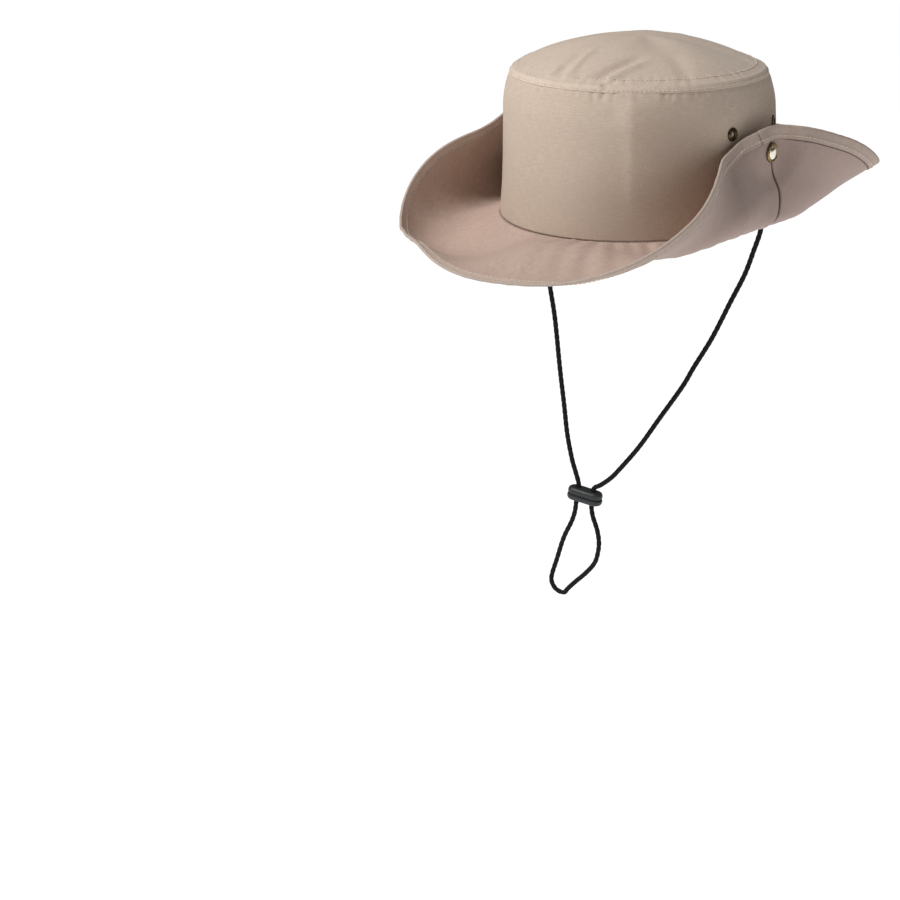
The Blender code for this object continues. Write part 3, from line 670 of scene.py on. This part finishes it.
# the raised edge is narrower at the wearer's right front
welt_edge = WELT_WIDTH - 0.0042 * bell(wrapped(top_turns - 3.68) / 0.32)
welt = WELT_RISE * (1.0 - 0.75 * ease((from_seam - welt_edge) / 0.0012))
welt = welt + LAP_RISE * (1.0 - ease(from_seam / 0.002))
welt_pucker = random_waves(top_turns / 4, from_seam, 5, (30, 84), (-60, 60))
welt_pucker = TOP_PUCKER_RISE * welt_pucker * bell((from_seam - 0.0055) / 0.0045) * (0.4 + 0.6 * pucker_front[:1])
slow = random_waves(top_turns / 4, from_seam, 6, (2, 7), (-8, 8)) * ease(from_seam / 0.02) * TOP_WAVE_RISE
centre_fade = ease((TOP_REACH - from_seam) / 0.03)
folds = fold_depth(top_grid[..., 0], top_grid[..., 1] + TOP_FORWARD)
top_relief = welt + (welt_pucker + slow) * centre_fade + folds
top_grid = top_grid + facing(top_grid) * top_relief[..., None]
top_places = np.concatenate([top_grid, top_grid[:, :1]], axis=1)[..., :2]
# painted light: the top's cotton is drawn paler than the side's, for the light that falls on it from above
top_cotton_painted_light = plain_weave("plain_woven_tan_cotton_top_painted_light", "#BFAD9B", "#CAB8A8", "#D5C5B6", "#C4B3A2", 0.5)
top_mesh = rows_of_faces("crown_top_cloth", top_grid, top_places)
close_ends(top_mesh, above=CROWN_HEIGHT + 0.01)
crown_top = add_piece("crown_top_cloth", top_mesh, top_cotton_painted_light, "crown_top")
thicken(crown_top, TOP_CLOTH)


# BRIM
# Two layers of the tan cotton sewn as one, level at the front and back and pressed up at both sides, where a press
# stud holds each side to the crown. Front and back halves meet in a short seam at each side.
BRIM_WIDTH = 0.0725
BRIM_CLOTH = 0.001
SEAM_GAP = 0.0003
CROWN_WALL = 0.0012
BRIM_FLAT = 0.009
BRIM_BLEND = 0.016
# pitch in degrees above level at five even steps from seam to edge, then the share of the width; the rows go round
# the hat from the front, four to a quarter turn
BRIM_TABLE = np.array([
    (1, 3, -15, -22, 2, 1.037), (4, 9, -16, -21, 31, 1.006), (-24, -2, 40, 38, 72, 1.0),
    (-13, 33, 109, 122, 104, 0.985), (-17, 85, 104, 91, 90, 1.005), (-29, 45, 71, 62, 69, 1.003),
    (-23, 13, 32, 29, 34, 0.99), (-15, 23, 31, 29, 27, 1.0), (-14, 18, 31, 29, 27, 1.0),
    (-14, 20, 32, 32, 32, 1.0), (-16, 16, 33, 33, 34, 1.0), (-16, 44, 66, 58, 60, 1.0),
    (-26, 69, 114, 93, 91, 0.99), (-25, 18, 83, 116, 115, 0.985), (-30, -31, -4, 36, 62, 1.005),
    (-31, -32, 1, 27, 27, 1.035),
])
BRIM_STEPS = 160
HEM = 0.0063
HEM_DROOP = 0.0004
EDGE_INSET = 0.0012
# the small dog-ear where the wearer's right flap meets the front
TUCK_TURN = 3.58
TUCK = 0.0012
TUCK_SPREAD = 0.05
SEAM_END = 0.009
SEAM_BOW = 0.036
SEAM_DIP = 0.0007
GATHER_RISE = 0.00045
BRIM_WAVE_RISE = 0.0002
HEM_RIPPLE_RISE = 0.00003
STITCH_DIP = 0.00028
FLAT_RADIUS = 0.09


def brim_row(turns):
    """The brim's table read smoothly at any turn."""
    spot = (turns % 4.0) * 4
    row = np.floor(spot).astype(int)
    share = (spot - row)[:, None]
    before, start, end, after = (BRIM_TABLE[(row + step) % 16] for step in (-1, 0, 1, 2))
    return smooth_between(before, start, end, after, share)


def brim_surface(turns, shares):
    """Middle of the brim's cloth, one row of points for each share of its width."""
    table = brim_row(turns)
    middle_shares = (np.arange(BRIM_STEPS) + 0.5) / BRIM_STEPS
    pitch = np.radians(read_at(middle_shares, np.linspace(0, 1, 5), table[:, :5].T))
    step = BRIM_WIDTH * table[:, 5] / BRIM_STEPS
    knots = np.linspace(0.0, 1.0, BRIM_STEPS + 1)
    out, up = (
        read_at(shares, knots, np.vstack([np.zeros((1, len(turns))), np.cumsum(way * step, axis=0)]))
        for way in (np.cos(pitch), np.sin(pitch))
    )
    angle = (turns - 1.0) * QUARTER
    base = np.stack([OPENING_HALF_WIDTH * np.cos(angle), OPENING_HALF_LENGTH * np.sin(angle), 0 * angle], axis=-1)
    points = base[None] + outward(turns)[None] * (out + CROWN_WALL / 2)[..., None]
    points[..., 2] += up - SEAM_GAP - BRIM_CLOTH / 2
    return held_flat(points, [seat[0] for seat in SNAP_SEATS], BRIM_FLAT, BRIM_BLEND)


def side_seam(snap_turn, from_crown):
    """Turn of the seam that joins the brim's front and back halves: it bows back between crown and stud."""
    bow = SEAM_BOW * np.sin(math.pi * np.clip(from_crown / (BRIM_WIDTH - SNAP_FROM_EDGE), 0.0, 1.0) ** 0.8)
    return snap_turn + (bow if snap_turn < 2.0 else -bow)


# columns lie closer at the side seams, at the edge band's joint and at the dog-ear
close_by = np.arange(-0.004, 0.0401, 0.0018)
brim_turns = np.concatenate([
    4.0 * np.arange(600) / 600, 1.0 + close_by, 3.0 - close_by, 0.93 + np.arange(-0.008, 0.0081, 0.0013),
    [TUCK_TURN - 0.001]
])
brim_turns = np.unique(np.round(brim_turns, 6))
brim_turns = brim_turns[np.append(np.diff(brim_turns) > 0.0006, True)]
edge_share = 1.0 - EDGE_INSET / BRIM_WIDTH
brim_shares = np.concatenate([
    [0.0, 0.0, 0.006, 0.012], np.linspace(0.025, 0.25, 13), np.linspace(0.27, 0.86, 25),
    np.linspace(0.88, edge_share - 0.004, 11), [edge_share - 0.001, edge_share]
])
brim_grid = brim_surface(brim_turns, brim_shares)
brim_grid[0] -= outward(brim_turns) * CROWN_WALL
turn_grid = np.broadcast_to(brim_turns, brim_grid.shape[:2])
from_crown = np.broadcast_to((brim_shares * BRIM_WIDTH)[:, None], brim_grid.shape[:2])
from_edge = BRIM_WIDTH - from_crown

# Relief, in metres towards the upper face: gathers that run out from the crown seam, slow waves, a ripple at the hem,
# the dip of the stitches, the droop of the edge and the side seams' groove, which shows on the underside. The cloth
# is calm at the press studs.
gathers = random_waves(turn_grid / 4, from_crown, 11, (20, 58), (-6, 6)) * ease(from_crown / 0.003)
front_share = bell(wrapped(turn_grid) / 0.75)
gathers = gathers * (0.04 + 0.5 * front_share + 0.66 * np.exp(-from_crown / 0.006)) * GATHER_RISE
gathers = gathers * ease((from_edge - 0.004) / 0.012)
slow = random_waves(turn_grid / 4, from_crown, 12, (4, 10), (-6, 6)) * BRIM_WAVE_RISE * ease(from_crown / 0.02)
slow = slow * ease((from_edge - 0.002) / 0.02)
hem_ripple = random_waves(turn_grid / 4, from_edge, 13, (60, 120), (-20, 20)) * HEM_RIPPLE_RISE
hem_ripple = hem_ripple * bell(from_edge / 0.007)
stitch_dip = -STITCH_DIP * bell((from_edge - HEM) / 0.0009)
droop = -HEM_DROOP * ease(1.0 - from_edge / HEM) * (0.25 + 0.75 * bell(wrapped(turn_grid - 3.75) / 0.4))
near_snap = np.minimum(*[np.linalg.norm(brim_grid - np.array(seat), axis=2) for seat in SNAP_SEATS])
calm = ease((near_snap - 0.007) / 0.01)
seam_gap = np.full(brim_grid.shape[:2], 1.0)
for snap_turn in SNAP_TURNS:
    away = wrapped(turn_grid - side_seam(snap_turn, from_crown))
    seam_gap = np.minimum(seam_gap, np.abs(away) * 0.15)
seam_line = (1.0 - ease((seam_gap - 0.0005) / 0.0009)) * ease((from_edge - SEAM_END) / 0.0005)
seam_dip = bell(seam_gap / 0.0011) * ease(from_crown / 0.003) * ease((from_edge - SEAM_END) / 0.001)
past_tuck = wrapped(turn_grid - TUCK_TURN)
tuck = np.where(past_tuck <= 0.0, TUCK, -1.6 * TUCK) * np.exp(-np.abs(past_tuck) / TUCK_SPREAD)
tuck = tuck * ease(1.0 - from_edge / 0.012)
brim_relief = (gathers + slow + hem_ripple) * calm + stitch_dip + droop + SEAM_DIP * seam_dip
outwards = np.gradient(brim_grid, axis=0)
outwards[0] = outwards[1] = outwards[3]
outwards = unit(outwards)
under_way = facing(brim_grid)
under_way[0] = under_way[1] = under_way[3]
brim_grid = brim_grid - under_way * brim_relief[..., None] + outwards * tuck[..., None]
# painted shade: dark lines along the side seams and along the foot of the crown
brim_shade = np.maximum(0.95 * seam_line, 0.4 * (1.0 - ease((from_crown - 0.0003) / 0.0006)))
flat_angle = (np.append(brim_turns, 4.0) - 1.0) * QUARTER
flat_radius = FLAT_RADIUS + brim_shares * BRIM_WIDTH
brim_places = flat_radius[:, None, None] * np.stack([np.cos(flat_angle), np.sin(flat_angle)], axis=-1)

brim_cotton = plain_weave("plain_woven_tan_cotton_brim", "#AA9285", "#B79F92", "#C5ADA1", "#AE978A", 0.5)
# painted shade: the underside's cotton is drawn darker and greyer than the upper face's, for the shade under the brim
under_cotton_painted_shade = plain_weave("plain_woven_tan_cotton_underside_painted_shade", "#9C8A83", "#A38F87", "#AB978E", "#9F8C83", 0.5)
brim_mesh = rows_of_faces("brim_cloth", brim_grid, brim_places)
paint(brim_mesh, "shade", brim_shade)
# painted highlight: the hem strip is drawn paler, for the light that the folded hem catches
paint(brim_mesh, "painted_highlight", 0.28 * (1.0 - ease((from_edge - HEM + 0.0004) / 0.0008)))
brim = add_piece("brim_cloth", brim_mesh, under_cotton_painted_shade, "brim")
brim_mesh.materials.append(brim_cotton)
brim_solid = thicken(brim, BRIM_CLOTH)
brim_solid.material_offset = 1
brim_solid.material_offset_rim = 1


# EDGE BAND
# A folded strip of the same cotton that wraps the brim's edge and lies 9 mm wide on its underside, held by the
# stitches that show on both faces. Its two ends meet just in front of the wearer's left stud.
BAND_WIDTH = 0.0092
BAND_CLOTH = 0.0005
BAND_WRAP = 7
BAND_TURN = 0.97 * math.pi
BAND_JOINT = 0.93
BAND_GIRTH = 0.95
BAND_CUT_WIDTH = 0.0105
LAPPED_RISE = 0.00025
JOINT_DIP = 0.0002
CRIMP_RISE = 0.00003
# distances of its rows from the brim's edge, inner edge first
BAND_ROWS = (
    BAND_WIDTH, BAND_WIDTH - 0.0005, BAND_WIDTH - 0.0009, 0.0074, 0.0066, 0.006, 0.005, 0.0038, 0.0027, 0.0019
)


def at_distance(grid, distances, wanted):
    """Point of each column of a grid at a wanted distance, from the rows' distances."""
    wanted = np.broadcast_to(wanted, (grid.shape[1],))
    order = np.argsort(distances)
    place = np.interp(wanted, distances[order], order.astype(float))
    low = np.clip(np.floor(place).astype(int), 0, grid.shape[0] - 2)
    part = (place - low)[:, None]
    column = np.arange(grid.shape[1])
    return grid[low, column] * (1.0 - part) + grid[low + 1, column] * part


def row_on_cloth(grid, normals, distances, wanted, lift):
    """Line on the cloth at a distance from its edge, lifted off it, with the directions of the lift."""
    away = unit(at_distance(normals, distances, wanted))
    return at_distance(grid, distances, wanted) + away * lift, away


brim_distances = BRIM_WIDTH - brim_shares * BRIM_WIDTH
brim_distances[0] += 0.001
brim_under = facing(brim_grid)
under_at = BRIM_CLOTH / 2 + 0.0001 + BAND_CLOTH / 2
band_rows, band_levels = [], []
for distance in BAND_ROWS:
    band_rows.append(row_on_cloth(brim_grid, brim_under, brim_distances, distance, under_at)[0])
    band_levels.append(distance)
for step in range(BAND_WRAP + 1):
    angle = BAND_TURN * step / BAND_WRAP
    band_rows.append(
        brim_grid[-1] + brim_under[-1] * (under_at * math.cos(angle))
        + outwards[-1] * ((EDGE_INSET - 0.0002) * math.sin(angle))
    )
    band_levels.append(EDGE_INSET - 0.0003 * step)
band_grid = np.array(band_rows)
band_levels = np.array(band_levels)[:, None] * np.ones((1, band_grid.shape[1]))
band_turns = np.broadcast_to(brim_turns, band_grid.shape[:2])
joint = bell(wrapped(band_turns - BAND_JOINT - 0.012 * (band_levels / BAND_WIDTH - 0.5)) / 0.0026)
lapped = ease(wrapped(band_turns - BAND_JOINT) / 0.004) * ease(1.0 - wrapped(band_turns - BAND_JOINT) / 0.09)
crimp = random_waves(band_turns / 4, band_levels, 17, (70, 140), (-30, 30)) * CRIMP_RISE
band_grid = band_grid + facing(band_grid) * (LAPPED_RISE * lapped - JOINT_DIP * joint + crimp)[..., None]
# painted shadow beside its inner edge, deeper on the back half, and a dark line painted along the joint
rear = 0.35 + 0.55 * ease(wrapped(band_turns - 1.05) / 0.06) * ease((2.9 - wrapped(band_turns - 0.02)) / 0.1)
inner_edge = (band_levels > BAND_WIDTH - 0.0006) * rear
band_shade = np.maximum(inner_edge, 0.7 * joint * (band_levels > 0.0012))
band_along = np.append(brim_turns, 4.0) / 4 * BAND_GIRTH
band_places = cloth_places(band_along, np.linspace(0.0, BAND_CUT_WIDTH, len(band_grid)))
band_cotton = plain_weave("bias_cut_tan_cotton_band", "#9E8C82", "#A9978C", "#B4A398", "#A29286", 0.6)
band_mesh = rows_of_faces("edge_band", band_grid, band_places)
paint(band_mesh, "shade", band_shade)
# painted highlight: the rows where the band folds round the brim's edge are drawn paler
paint(band_mesh, "painted_highlight", 0.12 * ease((0.0012 - band_levels) / 0.0008))
band = add_piece("edge_band", band_mesh, band_cotton, "brim_binding")
thicken(band, BAND_CLOTH)


# STITCHES
# Lockstitches 2.8 mm apart: two rows on the top seam, and one row through the edge band that shows on both faces of
# the brim. Real thread is about 0.3 mm thick; it is drawn 0.4 to 0.5 mm thick so that it shows.
STITCH = 0.0023
STITCH_GAP = 0.0005
THREAD = 0.0005
FINE_THREAD = 0.0004
THREAD_SIDES = 6
TOP_THREAD_LIFT = 0.0004

# Cotton-wrapped thread: paler than the cloth, slightly silky, with its twist drawn as patches about 1 mm long.
thread = mottled_finish("pale_cotton_thread", 900.0, 2.0, "#CDBEAE", "#E6DACC", 0.7, span=(0.35, 0.65))[0]


def stitch_row(line, normal, name, thickness):
    """Short raised threads along a closed line on the cloth."""
    line = np.vstack([line, line[:1]])
    normal = np.vstack([normal, normal[:1]])
    along = distances_along(line)
    count = int(along[-1] / (STITCH + STITCH_GAP))
    pace = along[-1] / count
    part = np.array([0.0, 0.12, 0.35, 0.65, 0.88, 1.0])
    rise = np.array([-0.9, 0.15, 0.55, 0.55, 0.15, -0.9]) * thickness / 2
    swell = np.array([0.7, 0.95, 1.0, 1.0, 0.95, 0.7]) * thickness / 2
    goals = (np.arange(count)[:, None] * pace + part[None, :] * STITCH).ravel()
    spots, ups = (read_at(goals, along, rows).reshape(count, len(part), 3) for rows in (line, normal))
    ups = unit(ups)
    sides = np.cross(unit(np.gradient(spots, axis=1)), ups)
    centre = spots + ups * rise[None, :, None]
    angle = 2 * math.pi * np.arange(THREAD_SIDES) / THREAD_SIDES
    ring = (
        centre[:, :, None, :]
        + ups[:, :, None, :] * (np.cos(angle)[None, None, :, None] * swell[None, :, None, None])
        + sides[:, :, None, :] * (np.sin(angle)[None, None, :, None] * swell[None, :, None, None])
    )
    step = np.arange(THREAD_SIDES)
    after = (step + 1) % THREAD_SIDES
    base = np.arange(count)[:, None, None] * len(part) * THREAD_SIDES
    row = base + np.arange(len(part) - 1)[None, :, None] * THREAD_SIDES
    faces = np.stack([row + step, row + after, row + after + THREAD_SIDES, row + step + THREAD_SIDES], axis=-1)
    ends = np.concatenate([base[:, 0] + step[::-1], base[:, 0] + (len(part) - 1) * THREAD_SIDES + step])
    mesh = bpy.data.meshes.new(name)
    mesh.from_pydata(ring.reshape(-1, 3).tolist(), [], faces.reshape(-1, 4).tolist() + ends.tolist())
    mesh.shade_smooth()
    add_piece(name, mesh, thread)


for name, wanted in (("top_stitch_lower", 0.0012 - LAP), ("top_stitch_upper", welt_edge[0] - 0.0003)):
    line, away = row_on_cloth(top_grid, facing(top_grid), from_seam[:, 0], wanted, TOP_THREAD_LIFT)
    stitch_row(line, away, name, FINE_THREAD)
line, away = row_on_cloth(brim_grid, brim_under, brim_distances, HEM, -BRIM_CLOTH / 2 - 0.0001)
stitch_row(line, -away, "hem_stitch_upper", THREAD)
line, away = row_on_cloth(band_grid, facing(band_grid), band_levels[:, 0], HEM - 0.0002, BAND_CLOTH / 2)
stitch_row(line, away, "hem_stitch_under", FINE_THREAD)


# AIR HOLES
# Four rolled brass eyelets, two at each side of the crown, let air through. Each is pressed through a hole in the
# cloth and rolled over on the outside.
EYELET_RADIUS = 0.0042
EYELET_HOLE = 0.0017
EYELET_RISE = 0.0011
EYELET_BARREL = 0.0034
EYELET_WALL = 0.0004
METAL_GIRTH = 0.03
METAL_EDGE = math.radians(50.0)
EYELET_HEIGHT = 0.0588
EYELET_TURNS = {"left_front": 0.862, "left_back": 1.222, "right_front": 3.138, "right_back": 2.778}

# Brass, stamped and oxidised: dark brown and dull gold in patches about 2 mm wide, the darker ones smoother.
aged_brass, tree, shader, tarnish = mottled_finish(
    "oxidised_brass", 420.0, 4.0, "#2E261B", "#6C5A3A", 0.4, 1.0, (0.35, 0.7)
)
dull = add_node(tree, "ShaderNodeMapRange", {"To Min": 0.3, "To Max": 0.5}, {"Value": tarnish.outputs["Fac"]})
tree.links.new(dull.outputs["Result"], shader.inputs["Roughness"])


def turned_piece(name, outline, steps, centre, axis, finish, slot, *replaced):
    """Outline of (radius, height) pairs turned about an axis, height along it."""
    outline = np.array(outline)
    axis = unit(np.array(axis))
    first = unit(np.cross(axis, [0.0, 0.0, 1.0]))
    second = np.cross(axis, first)
    angle = -2 * math.pi * np.arange(steps) / steps
    ring = np.cos(angle)[None, :, None] * first + np.sin(angle)[None, :, None] * second
    points = np.array(centre) + outline[:, 0][:, None, None] * ring + outline[:, 1][:, None, None] * axis
    mesh = rows_of_faces(name, points, cloth_places(np.linspace(0, METAL_GIRTH, steps + 1), outline[:, 1]))
    mesh.set_sharp_from_angle(angle=METAL_EDGE)
    add_piece(name, mesh, finish, *replaced)


def roll(inner, outer, foot, rise, steps):
    """Outline of a rolled edge, from its inner side over the top to its outer side."""
    angles = np.radians(np.linspace(165, 0, steps))
    middle, half = (inner + outer) / 2, (outer - inner) / 2
    return [(middle + half * math.cos(angle), foot + rise * math.sin(angle)) for angle in angles]


eyelet_seat = CROWN_CLOTH / 2 + 0.0002
eyelet_outline = [
    (EYELET_HOLE, -EYELET_BARREL), (EYELET_HOLE, eyelet_seat),
    *roll(EYELET_HOLE, EYELET_RADIUS, eyelet_seat, EYELET_RISE, 12), (EYELET_RADIUS, eyelet_seat - 0.0002),
    (EYELET_HOLE + EYELET_WALL, eyelet_seat - 0.0003), (EYELET_HOLE + EYELET_WALL, -EYELET_BARREL),
]
for side, turn in EYELET_TURNS.items():
    steps = np.array([turn, turn + 0.03, turn - 0.03, turn, turn])
    levels = EYELET_HEIGHT / CROWN_HEIGHT + np.array([0.0, 0.0, 0.0, 0.04, -0.04])
    spots = held_flat(crown_surface(steps, levels), wall_levels, WALL_FLAT, WALL_BLEND)
    axis = np.cross(spots[1] - spots[2], spots[3] - spots[4])
    turned_piece("air_hole_" + side, eyelet_outline, 40, spots[0], axis, aged_brass, "brass_dark", "eyelet_" + side)


# PRESS STUDS
# A domed plated cap in a brass rim outside each turned-up side of the brim, riveted to a socket on the cloth's other
# face. The socket is snapped on a stud that is riveted through the crown.
CAP_RADIUS = 0.0061
CAP_RISE = 0.0026
CAP_SKIRT = 0.0012
CAP_DOME_RADIUS = 0.0043
RIM_RISE = 0.0009

# Brass under a bright nickel plate, worn smooth: the studio's white shows in it, with faint patches 3 mm wide.
plated = mottled_finish("nickel_plated_brass", 300.0, 3.0, "#DDD2BE", "#FBF6EC", 0.16, 1.0)[0]

# Brass that hands have rubbed: dull gold with brown left in patches about 2 mm wide.
rubbed_brass = mottled_finish("rubbed_brass", 500.0, 3.0, "#6B5838", "#A8925F", 0.38, 1.0, (0.35, 0.7))[0]

cap_seat = BRIM_CLOTH / 2 + 0.0002
cap_outline = [(0.0001, cap_seat + CAP_RISE)]
for angle in np.radians(np.linspace(12, 84, 9)):
    cap_outline.append(
        (CAP_DOME_RADIUS * math.sin(angle), cap_seat + CAP_SKIRT + (CAP_RISE - CAP_SKIRT) * math.cos(angle))
    )
cap_outline.append((CAP_DOME_RADIUS + 0.0001, cap_seat + 0.0003))
rim_outline = [
    (CAP_DOME_RADIUS, cap_seat + 0.0004), *roll(CAP_DOME_RADIUS, CAP_RADIUS, cap_seat + 0.0008, RIM_RISE, 10),
    (CAP_RADIUS, cap_seat + 0.0002), (CAP_RADIUS - 0.0005, cap_seat),
]
stud_outline = [
    (0.0001, 0.0046), (0.0012, 0.0045), (0.0018, 0.0038), (0.0019, 0.0033), (0.0015, 0.0024), (0.0015, 0.0017),
    (0.0044, 0.0016), (0.005, 0.0012), (0.005, 0.0007), (0.0046, 0.0005), (0.0014, 0.0005), (0.0014, -0.001),
    (0.0036, -0.001), (0.0036, -0.0016), (0.0001, -0.0017),
]
for side, seat, level in zip(("left", "right"), SNAP_SEATS, wall_levels):
    way = (math.copysign(1.0, seat[0]), 0.0, 0.0)
    space = abs(seat[0]) - abs(level)
    turned_piece("stud_cap_" + side, cap_outline, 48, seat, way, plated, "brass_bright", "snap_cap_" + side)
    turned_piece("stud_rim_" + side, rim_outline, 48, seat, way, rubbed_brass, "brass_bright")
    inner = -BRIM_CLOTH / 2
    socket_end = -(space - CROWN_CLOTH / 2 - 0.0016)
    socket_outline = [
        (0.003, inner), (0.0048, inner - 0.0004), (0.0055, inner - 0.0012), (0.0055, socket_end + 0.0006),
        (0.0051, socket_end), (0.0035, socket_end - 0.0001), (0.0032, socket_end + 0.0006),
        (0.0022, socket_end + 0.0008), (0.0022, socket_end + 0.003), (0.0001, socket_end + 0.003),
    ]
    turned_piece("stud_socket_" + side, socket_outline, 40, seat, way, aged_brass, "brass_dark")
    turned_piece(
        "stud_post_" + side, stud_outline, 40, (level, seat[1], seat[2]), way, aged_brass, "brass_dark",
        "snap_stud_" + side
    )


# STUDIO
# A pale floor below the hanging cord, one large soft light high at the left of the view, and two weak ones at the
# right: one high and a little behind the hat, one low and in front.
FLOOR_LEVEL = -0.42
FLOOR_RADIUS = 14.0
LIT_HEIGHT = 0.03
floor_finish, tree, shader = new_finish("pale_matt_floor")
shader.inputs["Base Color"].default_value = linear("#8C8C8C")
shader.inputs["Roughness"].default_value = 0.95
shader.inputs["Specular IOR Level"].default_value = 0.0
shader.inputs["Emission Color"].default_value = linear("#FFFFFF")
shader.inputs["Emission Strength"].default_value = 0.95
bpy.ops.mesh.primitive_circle_add(vertices=96, radius=FLOOR_RADIUS, fill_type="NGON", location=(0.0, 0.0, FLOOR_LEVEL))
floor = bpy.context.object
floor.name = "floor"
floor.data.materials.append(floor_finish)


def soft_light(name, left, front, height, size, power):
    """Square white light aimed at the crown, placed from the view's left and front."""
    data = bpy.data.lights.new(name, "AREA")
    data.size = size
    data.energy = power
    lamp = bpy.data.objects.new(name, data)
    bpy.context.scene.collection.objects.link(lamp)
    front_way = Vector((view_back.x, view_back.y, 0.0)).normalized()
    spot = front_way * front - view_right * left + Vector((0.0, 0.0, height))
    lamp.location = spot
    lamp.rotation_euler = (spot - Vector((0.0, 0.0, LIT_HEIGHT))).to_track_quat("Z", "Y").to_euler()


soft_light("key_light", 1.62, 0.68, 1.88, 0.9, 64.0)
soft_light("rim_light", -1.5, -0.3, 1.8, 0.8, 2.5)
soft_light("front_light", -1.1, 1.4, 0.3, 0.8, 3.4)

world = bpy.data.worlds.new("studio_air")
world.use_nodes = True
bpy.context.scene.world = world
world.node_tree.nodes["Background"].inputs["Color"].default_value = linear("#E8E8EA")
world.node_tree.nodes["Background"].inputs["Strength"].default_value = 0.12
bpy.context.scene.view_settings.view_transform = "Standard"
